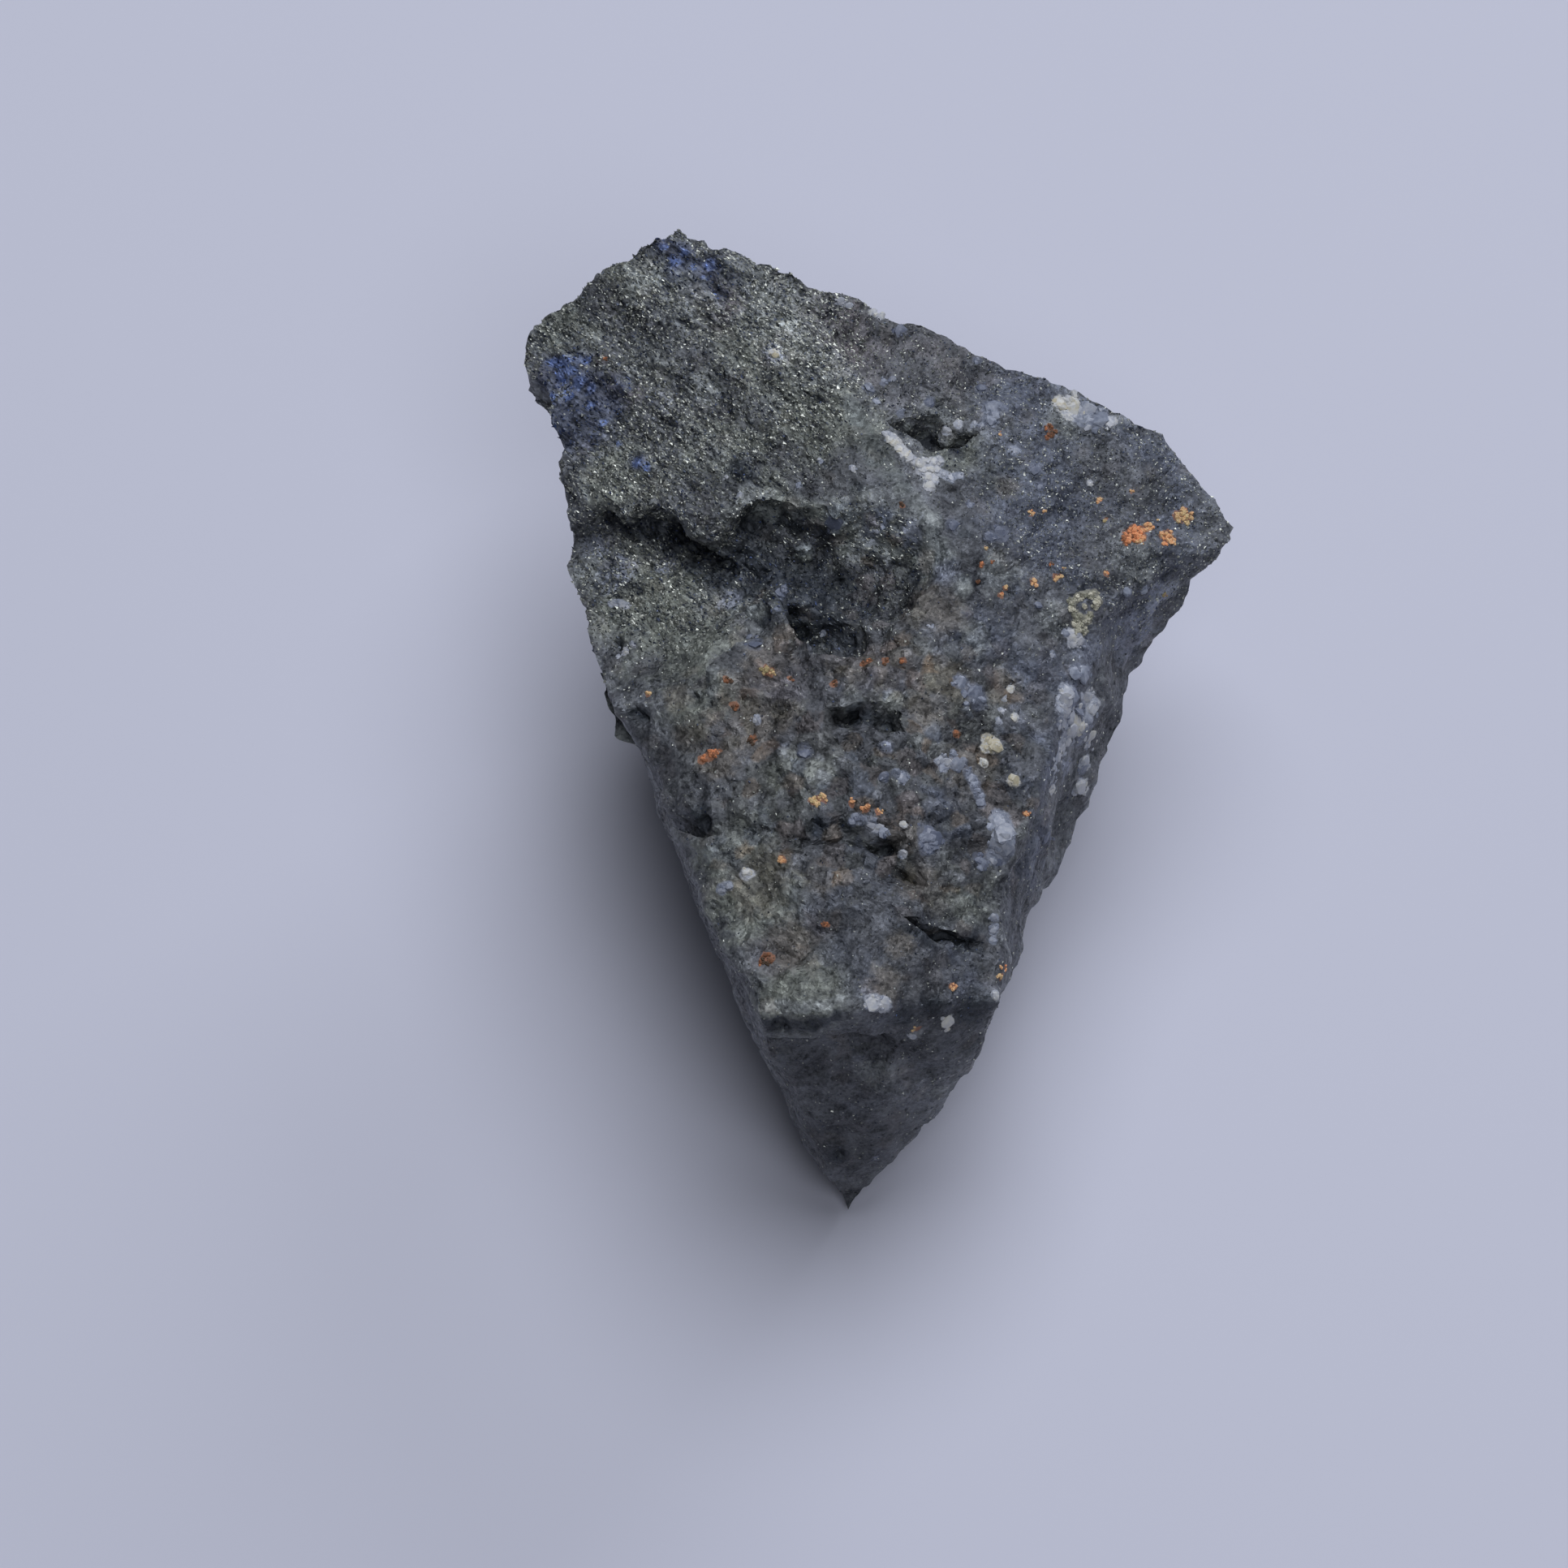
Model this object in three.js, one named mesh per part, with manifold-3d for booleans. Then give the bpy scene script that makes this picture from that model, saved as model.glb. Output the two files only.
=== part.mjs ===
// A broken chip of arsenopyrite ore that rests on a small flat spot: one solid, in millimetres.
// +Z is up, +Y runs from the pointed front to the broad back, and the origin is on the surface
// the chip rests on, under the middle of its bounding box.
//
// The chip is blocked out from convex blocks of stone with hand-placed corners. Ledges, hollows
// and cracks are then broken out of it with convex chips and scoops, and at last the surface is
// divided into small facets and roughened, except for the flat spot that the chip rests on.

import * as THREE from "three";
import { ConvexGeometry } from "three/addons/geometries/ConvexGeometry.js";
import { ImprovedNoise } from "three/addons/math/ImprovedNoise.js";
import { mergeVertices } from "three/addons/utils/BufferGeometryUtils.js";
import Module from "manifold-3d";

const wasm = await Module();
wasm.setup();

// ---- Driving dimensions -------------------------------------------------------------------

const FLOOR = 0; // height of the surface the chip rests on

const LONGEST_EDGE = 0.92; // edges of the facets before roughening
const SHORTEST_EDGE = 0.4;
const WELD = 1e-4; // points closer than this are one point

const SCOOP_DETAIL = 3; // subdivisions of the round scoops
const SCOOP_LUMPS = 0.3; // how far a scoop strays from a ball, as a share of its radii

// Roughness of the broken surface: waves of a given length, each with its own height.
const ROUGHNESS = [
  { length: 5.2, height: 0.26 },
  { length: 2.4, height: 0.28 },
  { length: 1.3, height: 0.22 },
];
const SMOOTH_BELOW = 1.6; // the roughness fades out from this height down to the flat spot

// ---- The main block -----------------------------------------------------------------------

const point = (x, y, z) => new THREE.Vector3(x, y, z);

// The rim of the broad upper face, from its highest corner at the back round to the left.
const RIM = [
  point(-3.45, 28.15, 14.3), // highest corner
  point(-4.4, 27.4, 14.1),
  point(-6.7, 26.0, 13.2),
  point(-7.8, 25.1, 12.6),
  point(-8.1, 24.4, 12.3), // left back corner
  point(-6.7, 17.6, 11.2), // left side
  point(-5.6, 14.2, 10.6),
  point(-3.2, 9.4, 10.2),
  point(-1.5, 3.9, 10.5),
  point(-0.7, 2.2, 10.5), // front face, left corner
  point(2.8, 2.1, 11.0), // brow over the front face
  point(6.3, 2.9, 9.4), // front face, right corner
  point(13.9, 19.7, 9.7), // right corner
  point(13.2, 20.9, 10.2),
  point(11.9, 22.4, 11.0),
  point(8.5, 23.8, 12.0), // back edge
  point(3.0, 25.75, 13.2),
  point(-1.4, 27.35, 14.0),
];

// The crest of the upper face, from the back edge down to the front.
const CREST = [
  point(1.8, 22.4, 13.3),
  point(3.3, 20.4, 13.1),
  point(4.8, 17.1, 12.8),
  point(4.9, 15.5, 12.6),
  point(4.5, 11.3, 12.0),
];

// The belt, where the sides turn under.
const BELT = [
  point(-5.9, 20.6, 5.2),
  point(-2.4, 11.0, 4.4),
  point(0.6, 2.2, 2.6),
  point(4.8, 2.5, 4.2),
  point(6.0, 7.4, 3.6),
  point(8.0, 13.0, 3.4),
  point(9.8, 18.6, 4.8),
  point(6.4, 22.2, 4.2),
  point(0.2, 24.7, 5.6),
  point(-4.6, 24.4, 7.0),
];

// The flat spot that the chip rests on.
const FOOT = [
  point(1.5, 8.4, FLOOR),
  point(3.7, 9.8, FLOOR),
  point(5.2, 12.6, FLOOR),
  point(5.4, 17.2, FLOOR),
  point(2.6, 20.4, FLOOR),
  point(-2.0, 19.4, FLOOR),
  point(-2.4, 15.2, FLOOR),
  point(-0.6, 10.4, FLOOR),
];

// The keel, which rises a little from the flat spot to the point at the front.
const KEEL = [
  point(2.0, 0.9, 0.25), // the point at the front
  point(3.6, 5.4, 0.3),
  point(-0.2, 7.4, 0.3),
];

// ---- Blocks that stand out of the main block ----------------------------------------------

const LUMPS = {
  // A thick flake on the right side that stands out below the rim.
  flake: [
    point(7.9, 9.3, 5.6),
    point(8.3, 9.7, 5.4),
    point(8.7, 11.2, 5.6),
    point(9.1, 12.3, 5.9),
    point(10.0, 13.8, 6.4),
    point(10.2, 15.7, 7.0),
    point(11.5, 17.2, 8.2),
    point(10.2, 17.0, 10.0),
    point(7.6, 10.2, 9.0),
    point(6.2, 9.8, 3.6),
    point(7.6, 14.6, 3.2),
    point(5.0, 15.0, 6.0),
  ],

  // A thin shelf on the left side, also below the rim.
  shelf: [
    point(-5.7, 14.9, 8.9),
    point(-5.0, 12.9, 8.5),
    point(-3.8, 12.0, 8.2),
    point(-2.6, 12.4, 6.4),
    point(-3.4, 15.2, 6.0),
    point(-1.0, 14.0, 8.0),
  ],
};

// ---- Convex chips that are missing from it ------------------------------------------------

const CHIPS = {
  // The break along the right side, from the right corner to the front face.
  rightBreak: [
    point(5.9, 1.0, 13),
    point(6.8, 6.9, 13),
    point(7.6, 10.4, 13),
    point(8.7, 13.9, 13),
    point(10.0, 16.8, 13),
    point(13.6, 19.7, 13),
    point(30, 18, 13),
    point(30, -4, 13),
    point(6.5, 1.8, 6),
    point(7.1, 6.6, 6),
    point(8.1, 10.0, 6),
    point(9.5, 13.4, 6),
    point(10.8, 16.6, 6),
    point(14.3, 19.1, 6),
    point(30, 18, -6),
    point(30, -4, -6),
    point(9, -4, -6),
  ],

  // The chip missing from the left edge, below the left back corner.
  leftCorner: [
    point(-7.75, 23.6, 13.5),
    point(-7.15, 22.6, 13.5),
    point(-6.85, 20.4, 13.5),
    point(-7.0, 18.4, 13.5),
    point(-7.0, 23.4, 8.2),
    point(-6.2, 21.8, 8.0),
    point(-6.3, 19.0, 8.2),
    point(-12, 24.5, 11),
    point(-12, 18, 11),
  ],

  // The layer missing from the left of the upper face, which leaves a ledge over it.
  ledge: [
    point(-7.6, 18.5, 13.6),
    point(-5.2, 18.8, 13.6),
    point(-3.5, 18.4, 13.6),
    point(-2.1, 17.3, 13.6),
    point(-0.8, 16.2, 13.6),
    point(-7.8, 19.0, 10.3),
    point(-5.2, 19.3, 11.0),
    point(-3.2, 18.9, 11.4),
    point(-1.6, 17.7, 11.5),
    point(-0.4, 16.6, 11.6),
    point(-0.4, 14.6, 12.1),
    point(-3.0, 12.2, 11.6),
    point(-6.4, 13.4, 10.3),
    point(-7.8, 16.0, 10.1),
  ],

  // The dark pocket behind the white grain.
  pocket: [
    point(3.0, 21.6, 14.2),
    point(4.7, 22.0, 14.2),
    point(6.4, 21.5, 14.2),
    point(4.7, 20.5, 14.2),
    point(3.4, 21.6, 12.2),
    point(4.6, 21.7, 11.4),
    point(6.0, 21.3, 11.9),
    point(4.8, 20.8, 11.5),
  ],

  // The open crack near the front, under a low step.
  crack: [
    point(3.3, 5.0, 12.4),
    point(4.6, 5.1, 12.4),
    point(6.2, 4.6, 12.4),
    point(4.7, 4.4, 12.4),
    point(3.6, 5.3, 10.2),
    point(4.7, 5.4, 9.8),
    point(6.0, 5.0, 9.7),
    point(4.7, 5.0, 9.7),
  ],

  // The groove across the left edge.
  edgeGroove: [
    point(-3.9, 9.6, 11.6),
    point(-3.4, 8.8, 11.6),
    point(-2.0, 7.6, 11.6),
    point(-1.6, 8.1, 11.6),
    point(-3.9, 9.5, 8.6),
    point(-3.2, 8.9, 8.8),
    point(-2.0, 8.0, 10.4),
  ],

  // The groove between the shelf on the left side and the rim.
  shelfGroove: [
    point(-6.6, 14.9, 9.9),
    point(-5.6, 12.9, 9.5),
    point(-4.4, 11.9, 9.2),
    point(-5.0, 14.9, 9.3),
    point(-4.2, 13.0, 9.0),
    point(-3.4, 11.9, 8.8),
    point(-6.4, 14.8, 9.1),
    point(-5.4, 12.8, 8.8),
    point(-4.2, 11.8, 8.6),
  ],

  // The step under the brow of the front face.
  brow: [
    point(-1.6, 0.6, 9.9),
    point(4.2, 0.6, 9.7),
    point(-0.9, 2.7, 9.8),
    point(0.6, 2.75, 9.6),
    point(2.7, 2.6, 9.4),
    point(0.4, 1.3, 4.4),
    point(3.0, 1.3, 4.6),
    point(4.2, 0.6, 5.0),
    point(-1.6, 0.6, 5.0),
  ],

  // Steps on the back and on the left side, and two breaks of the underside.
  backStep: [
    point(-4.8, 29, 10.6),
    point(5.2, 28, 9.4),
    point(-3.6, 24.9, 9.8),
    point(0.6, 24.0, 9.0),
    point(4.6, 23.2, 8.4),
    point(-4.4, 25.8, 3.0),
    point(5.6, 23.4, 2.0),
    point(0.4, 23.4, 3.0),
    point(-5.4, 29, 2.0),
    point(6.8, 28, 1.0),
  ],
  backCorner: [
    point(7.4, 26, 13),
    point(14.0, 24, 12),
    point(8.6, 22.4, 8.6),
    point(10.8, 21.0, 7.6),
    point(8.0, 22.4, 3.0),
    point(11.4, 20.0, 3.0),
    point(15.0, 24.0, 3.0),
    point(8.4, 26, 3.0),
  ],
  leftStep: [
    point(-10, 19.0, 9.4),
    point(-10, 10.0, 8.4),
    point(-5.3, 18.6, 8.6),
    point(-3.4, 13.0, 7.4),
    point(-2.3, 9.6, 6.8),
    point(-4.6, 18.8, 3.0),
    point(-2.2, 11.0, 2.8),
    point(-9, 18.8, 1.0),
    point(-9, 9.6, 1.0),
  ],
  underLeft: [
    point(-7.4, 25.0, 4.4),
    point(-3.0, 26.4, 4.6),
    point(-3.2, 21.4, 2.6),
    point(0.4, 22.8, 2.4),
    point(-3.6, 21.2, -1),
    point(0.6, 22.4, -1),
    point(-8.0, 22.0, -1),
    point(-2.0, 27.0, -1),
  ],
};

// ---- Round scoops that are missing from it ------------------------------------------------

// Each has a centre, its three radii, and its turns about X, Y and Z in degrees.
const SCOOPS = {
  hollow: { at: point(2.1, 16.2, 13.2), radii: [2.9, 2.4, 1.7], turn: [-10, -6, 0] },
  hollowWall: { at: point(0.3, 17.4, 12.9), radii: [2.1, 1.5, 1.5], turn: [-20, 0, -8] },
  hollowFloor: { at: point(1.2, 14.7, 12.2), radii: [1.5, 0.9, 1.6], turn: [0, 0, -28] },
  hollowSide: { at: point(3.7, 16.6, 12.8), radii: [1.1, 1.4, 1.0], turn: [0, 14, -30] },
  pitUpper: { at: point(2.3, 11.6, 12.3), radii: [1.0, 0.5, 1.0], turn: [10, 0, -4] },
  pitLower: { at: point(3.3, 11.3, 12.1), radii: [0.7, 0.4, 0.9], turn: [0, 0, -25] },
  dentUpper: { at: point(3.0, 7.4, 12.0), radii: [0.8, 0.6, 1.1], turn: [0, 0, -30] },
  dentLower: { at: point(3.8, 6.5, 11.8), radii: [0.9, 0.5, 1.0], turn: [0, 0, -10] },
  dentLeft: { at: point(1.2, 7.9, 12.0), radii: [1.3, 0.6, 0.9], turn: [0, 0, 15] },
  shallow: { at: point(-1.6, 21.8, 15.4), radii: [3.4, 1.7, 2.0], turn: [0, 10, -38] },
  backScoop: { at: point(4.4, 26.6, 10.6), radii: [3.2, 3.0, 2.2], turn: [0, 0, -15] },
  leftScoop: { at: point(-8.6, 22.2, 8.4), radii: [2.4, 3.4, 2.2], turn: [0, 20, 0] },
  rightScoop: { at: point(10.3, 6.6, 5.0), radii: [3.6, 3.0, 2.6], turn: [0, 0, 12] },
  underScoop: { at: point(8.6, 19.8, 1.4), radii: [3.2, 3.6, 2.6], turn: [0, 0, 20] },
};

// ---- Making the solid ---------------------------------------------------------------------

const noise = new ImprovedNoise();

// A smooth random vector that depends on the place alone.
function wander(place, length) {
  const p = place.clone().divideScalar(length);
  return point(
    noise.noise(p.x, p.y, p.z + 11.3),
    noise.noise(p.y + 23.1, p.z, p.x),
    noise.noise(p.z, p.x + 41.7, p.y),
  );
}

function bare(geometry) {
  const loose = geometry.index ? geometry.toNonIndexed() : geometry;
  const shape = new THREE.BufferGeometry();
  shape.setAttribute("position", loose.getAttribute("position"));
  return mergeVertices(shape, WELD);
}

function solidOf(geometry) {
  const shape = bare(geometry);
  return new wasm.Manifold(
    new wasm.Mesh({
      numProp: 3,
      vertProperties: new Float32Array(shape.attributes.position.array),
      triVerts: new Uint32Array(shape.index.array),
    }),
  );
}

function geometryOf(solid) {
  const mesh = solid.getMesh();
  const geometry = new THREE.BufferGeometry();
  geometry.setAttribute("position", new THREE.BufferAttribute(mesh.vertProperties, 3));
  geometry.setIndex(new THREE.BufferAttribute(mesh.triVerts, 1));
  return geometry;
}

function move(geometry, shiftAt) {
  const position = geometry.getAttribute("position");
  const place = new THREE.Vector3();
  for (let i = 0; i < position.count; i++) {
    place.fromBufferAttribute(position, i);
    place.add(shiftAt(place));
    position.setXYZ(i, place.x, place.y, place.z);
  }
}

const block = (...corners) => solidOf(new ConvexGeometry(corners.flat()));

// A lumpy ball: the place it is cut from is what makes its lumps differ from the next one's.
function scoop({ at, radii, turn }) {
  const ball = bare(new THREE.IcosahedronGeometry(1, SCOOP_DETAIL));
  move(ball, (place) => wander(place.clone().add(at), 1).multiplyScalar(SCOOP_LUMPS));
  ball.scale(...radii);
  const [x, y, z] = turn.map(THREE.MathUtils.degToRad);
  ball.applyMatrix4(new THREE.Matrix4().makeRotationFromEuler(new THREE.Euler(x, y, z)));
  ball.translate(at.x, at.y, at.z);
  return solidOf(ball);
}

const { rightBreak, ...otherChips } = CHIPS;
let stone = block(RIM, CREST, BELT, KEEL, FOOT).subtract(block(rightBreak));
for (const corners of Object.values(LUMPS)) {
  stone = stone.add(block(corners));
}
for (const corners of Object.values(otherChips)) {
  stone = stone.subtract(block(corners));
}
for (const shape of Object.values(SCOOPS)) {
  stone = stone.subtract(scoop(shape));
}

// ---- Even facets --------------------------------------------------------------------------

const ROUNDS = 4; // rounds of splitting, merging and turning edges
const FLAT_ENOUGH = 0.99; // an edge turns only where its two faces lie this flat (cosine)
const NO_FOLD = 0.35; // a merge may tilt no face further than this (cosine)

// A closed surface that stays closed while its edges are split, merged and turned.
class Skin {
  constructor(geometry) {
    const position = geometry.getAttribute("position");
    this.places = [];
    this.around = []; // the faces around each place
    this.faces = new Map();
    this.nextFace = 0;
    for (let i = 0; i < position.count; i++) {
      this.addPlace(new THREE.Vector3().fromBufferAttribute(position, i));
    }
    const corners = geometry.index.array;
    for (let i = 0; i < corners.length; i += 3) {
      this.addFace([corners[i], corners[i + 1], corners[i + 2]]);
    }
  }

  addPlace(place) {
    this.places.push(place);
    this.around.push(new Set());
    return this.places.length - 1;
  }

  addFace(face) {
    const id = this.nextFace++;
    this.faces.set(id, face);
    for (const corner of face) this.around[corner].add(id);
  }

  removeFace(id) {
    for (const corner of this.faces.get(id)) this.around[corner].delete(id);
    this.faces.delete(id);
  }

  facesOn(a, b) {
    return [...this.around[a]].filter((id) => this.around[b].has(id));
  }

  neighbours(a) {
    const found = new Set([...this.around[a]].flatMap((id) => this.faces.get(id)));
    found.delete(a);
    return found;
  }

  length(a, b) {
    return this.places[a].distanceTo(this.places[b]);
  }

  edges() {
    const found = [];
    for (const face of this.faces.values()) {
      face.forEach((a, i) => {
        const b = face[(i + 1) % 3];
        if (a < b) found.push([a, b]);
      });
    }
    return found;
  }

  cross([a, b, c]) {
    const side = this.places[b].clone().sub(this.places[a]);
    return side.cross(this.places[c].clone().sub(this.places[a]));
  }

  normal(face) {
    return this.cross(face).normalize();
  }

  // Near 1 on an equal-sided face and near 0 on a sliver.
  shapeOf(face) {
    const [a, b, c] = face;
    const longest = Math.max(this.length(a, b), this.length(b, c), this.length(c, a));
    return this.cross(face).length() / longest ** 2;
  }

  // Higher on corners and edges than on flat ground, and highest on the flat spot.
  importance(a) {
    const sum = new THREE.Vector3();
    for (const id of this.around[a]) sum.add(this.normal(this.faces.get(id)));
    const sharpness = 1 - sum.length() / this.around[a].size;
    return this.places[a].z === FLOOR ? 1 + sharpness : sharpness;
  }

  split(a, b) {
    const middle = this.addPlace(this.places[a].clone().lerp(this.places[b], 0.5));
    for (const id of this.facesOn(a, b)) {
      const face = this.faces.get(id);
      this.removeFace(id);
      this.addFace(face.map((corner) => (corner === a ? middle : corner)));
      this.addFace(face.map((corner) => (corner === b ? middle : corner)));
    }
  }

  merge(keep, drop) {
    const nearKeep = this.neighbours(keep);
    const shared = [...this.neighbours(drop)].filter((corner) => nearKeep.has(corner));
    if (shared.length !== 2) return false;
    const gone = new Set(this.facesOn(keep, drop));
    const kept = [...this.around[drop]].filter((id) => !gone.has(id));
    const pulled = kept.map((id) => this.faces.get(id).map((corner) => (corner === drop ? keep : corner)));
    const folds = pulled.some((face, i) => {
      return this.normal(face).dot(this.normal(this.faces.get(kept[i]))) < NO_FOLD;
    });
    if (folds) return false;
    [...gone, ...kept].forEach((id) => this.removeFace(id));
    pulled.forEach((face) => this.addFace(face));
    return true;
  }

  turn(a, b) {
    const [one, other] = this.facesOn(a, b).map((id) => ({ id, face: this.faces.get(id) }));
    const before = this.normal(one.face);
    if (before.dot(this.normal(other.face)) < FLAT_ENOUGH) return;
    const ahead = one.face[(one.face.indexOf(a) + 1) % 3] === b;
    const [left, right] = ahead ? [one, other] : [other, one];
    const c = left.face.find((corner) => corner !== a && corner !== b);
    const d = right.face.find((corner) => corner !== a && corner !== b);
    if (this.neighbours(c).has(d)) return;
    const turned = [[a, d, c], [d, b, c]];
    const poorest = Math.min(...[one, other].map(({ face }) => this.shapeOf(face)));
    if (Math.min(...turned.map((face) => this.shapeOf(face))) <= poorest) return;
    if (turned.some((face) => this.normal(face).dot(before) < FLAT_ENOUGH)) return;
    [one, other].forEach(({ id }) => this.removeFace(id));
    turned.forEach((face) => this.addFace(face));
  }

  splitLongEdges() {
    let long = this.edges().filter(([a, b]) => this.length(a, b) > LONGEST_EDGE);
    while (long.length > 0) {
      long.sort(([a, b], [c, d]) => this.length(c, d) - this.length(a, b));
      const longest = this.length(...long[0]);
      for (const [a, b] of long) {
        if (this.length(a, b) > longest / 2) this.split(a, b);
      }
      long = this.edges().filter(([a, b]) => this.length(a, b) > LONGEST_EDGE);
    }
  }

  mergeShortEdges() {
    const short = this.edges().filter(([a, b]) => this.length(a, b) < SHORTEST_EDGE);
    short.sort(([a, b], [c, d]) => this.length(a, b) - this.length(c, d));
    for (const [a, b] of short) {
      if (this.facesOn(a, b).length !== 2) continue;
      const [keep, drop] = this.importance(a) >= this.importance(b) ? [a, b] : [b, a];
      if (!this.merge(keep, drop) && this.places[keep].z !== FLOOR) this.merge(drop, keep);
    }
  }

  turnEdges() {
    for (const [a, b] of this.edges()) {
      if (this.facesOn(a, b).length === 2) this.turn(a, b);
    }
  }

  even() {
    for (let i = 0; i < ROUNDS; i++) {
      this.mergeShortEdges();
      this.turnEdges();
      this.splitLongEdges();
      this.turnEdges();
    }
    this.mergeShortEdges();
    this.turnEdges();
  }

  toGeometry() {
    const geometry = new THREE.BufferGeometry().setFromPoints(this.places);
    geometry.setIndex([...this.faces.values()].flat());
    return bare(geometry);
  }
}

const skin = new Skin(bare(geometryOf(stone)));
skin.even();
const surface = skin.toGeometry();

// ---- Roughening its surface ---------------------------------------------------------------

move(surface, (place) => {
  const strength = THREE.MathUtils.smoothstep(place.z, FLOOR, SMOOTH_BELOW);
  const shift = new THREE.Vector3();
  for (const { length, height } of ROUGHNESS) {
    shift.addScaledVector(wander(place, length), height * strength);
  }
  return shift;
});

// The origin is under the middle of the finished surface.
surface.computeBoundingBox();
const middle = surface.boundingBox.getCenter(new THREE.Vector3());
surface.translate(-middle.x, -middle.y, 0);

const specimen = new THREE.Mesh(
  surface,
  new THREE.MeshStandardMaterial({ color: 0x55595c, roughness: 0.55, metalness: 0.35 }),
);
specimen.name = "specimen";

const part = new THREE.Group();
part.add(specimen);

export default part;
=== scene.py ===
# %% [markdown]
# # A chip of arsenopyrite ore
# The object is one broken chip of fine-grained sulphide ore, about 27 mm long. The frame holds its
# faceted solid. This lesson copies the solid, divides it into far smaller faces, breaks them up as
# the real rock is broken up, and then adds crystals, quartz, rust and tarnish.

import math

import bmesh
import bpy
import numpy as np
from mathutils import Euler, Matrix, Vector, noise
from mathutils.bvhtree import BVHTree


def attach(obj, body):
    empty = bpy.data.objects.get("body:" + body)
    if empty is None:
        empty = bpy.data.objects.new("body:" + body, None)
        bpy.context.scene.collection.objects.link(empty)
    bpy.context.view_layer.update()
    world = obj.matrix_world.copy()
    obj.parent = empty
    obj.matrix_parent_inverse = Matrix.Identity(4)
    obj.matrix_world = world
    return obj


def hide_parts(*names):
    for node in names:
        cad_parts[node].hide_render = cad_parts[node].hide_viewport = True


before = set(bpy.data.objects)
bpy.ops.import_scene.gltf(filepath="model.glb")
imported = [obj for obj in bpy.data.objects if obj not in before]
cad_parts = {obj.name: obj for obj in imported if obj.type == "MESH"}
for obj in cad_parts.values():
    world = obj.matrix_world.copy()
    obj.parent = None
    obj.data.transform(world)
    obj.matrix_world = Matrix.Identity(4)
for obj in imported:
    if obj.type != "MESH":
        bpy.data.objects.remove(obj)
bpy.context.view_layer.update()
MM = 0.001
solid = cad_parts["specimen"]
print("the solid chip has", len(solid.data.polygons), "faces")

# %% [markdown]
# ## The camera
# A macro lens looks down on the chip from in front, 60 degrees above the table. It comes first,
# because the marks on the chip are found by looking along its rays. The view is a square of 1932
# units a side, and at the middle of the chip 40 of those units are a millimetre.

# %% Make the camera
VIEW = 1932
UNITS_PER_MM = 40
DISTANCE = 300 * MM
ELEVATION = math.radians(60)
AIM = Vector((-2.84, -2.34, 7.0)) * MM
SENSOR = 36.0


def put_in_scene(name, data):
    made = bpy.data.objects.new(name, data)
    bpy.context.scene.collection.objects.link(made)
    return made


to_camera = Vector((0, -math.cos(ELEVATION), math.sin(ELEVATION)))
camera_data = bpy.data.cameras.new("camera")
camera_data.sensor_width = SENSOR
camera_data.lens = SENSOR * (DISTANCE / MM) / (VIEW / UNITS_PER_MM)
camera_data.clip_start = 0.01
camera = put_in_scene("camera", camera_data)
camera.location = AIM + to_camera * DISTANCE
camera.rotation_euler = Euler((math.pi / 2 - ELEVATION, 0, 0))
bpy.context.scene.camera = camera
print("lens of", round(camera_data.lens), "mm at", camera.location[:])

# %% [markdown]
# ## The body of the chip
# The solid's faces are more than half a millimetre across, and the grains of the ore a fifth of
# that. A voxel remesh would soften the ledges, so every edge that is too long is cut in two, again
# and again, and finer where the camera looks. The flat spot under the chip stays as it is.

# %% Copy the solid and divide it
NEAR_EDGE = 0.155 * MM
FAR_EDGE = 0.33 * MM
CUTS = 4
SAME_PLACE = 0.001 * MM


def is_resting(vertex):
    return vertex.co.z < 0.01 * MM


def is_too_long(edge):
    in_view = sum(v.normal.dot(to_camera) for v in edge.verts) > 0.0
    return edge.calc_length() > (NEAR_EDGE if in_view else FAR_EDGE)


chip_mesh = bmesh.new()
chip_mesh.from_mesh(solid.data)
bmesh.ops.remove_doubles(chip_mesh, verts=chip_mesh.verts, dist=SAME_PLACE)
for _ in range(CUTS):
    chip_mesh.normal_update()
    long_edges = [e for e in chip_mesh.edges if is_too_long(e)]
    bmesh.ops.subdivide_edges(chip_mesh, edges=long_edges, cuts=1, use_grid_fill=True)
    bmesh.ops.triangulate(chip_mesh, faces=chip_mesh.faces)
    print("cut", len(long_edges), "edges, now", len(chip_mesh.faces), "faces")

# %% [markdown]
# A broken edge of this rock is crumbly, not like a knife. So the corners between facets are rubbed
# down by moving each vertex towards the middle of its neighbours, but never by more than a
# twentieth of a millimetre, which keeps the ledges sharp.

# %% Round the facets a little
ROUNDING = 0.05 * MM
TURNS = 6
crisp = [v.co.copy() for v in chip_mesh.verts]
free = [v for v in chip_mesh.verts if not is_resting(v)]
for _ in range(TURNS):
    bmesh.ops.smooth_vert(chip_mesh, verts=free, factor=0.5,
                          use_axis_x=True, use_axis_y=True, use_axis_z=True)
for vertex, before in zip(chip_mesh.verts, crisp):
    moved = vertex.co - before
    if moved.length > ROUNDING:
        vertex.co = before + moved * (ROUNDING / moved.length)
chip_mesh.normal_update()
print("no corner is rounded by more than", ROUNDING / MM, "mm")

# %% [markdown]
# ## Looking along the camera's rays
# Whatever has its own place on the chip is given by where the camera sees it: across, down and a
# radius, in units of the view. A ray through that point finds the place on the rock and the way
# the rock faces there.

# %% Find places on the chip
RIGHT = Vector((1, 0, 0))
UP = to_camera.cross(RIGHT)
surface = BVHTree.FromBMesh(chip_mesh)


def place_of(across, down):
    """The place on the chip that the camera sees here in its view, and the way it faces."""
    ray = RIGHT * (across - VIEW / 2) - UP * (down - VIEW / 2)
    ray = ray * MM / UNITS_PER_MM - to_camera * DISTANCE
    return surface.ray_cast(camera.location, ray.normalized())[:2]


CREST = (1150, 640)
print("the camera sees the crest at", place_of(*CREST)[0][:])

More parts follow.
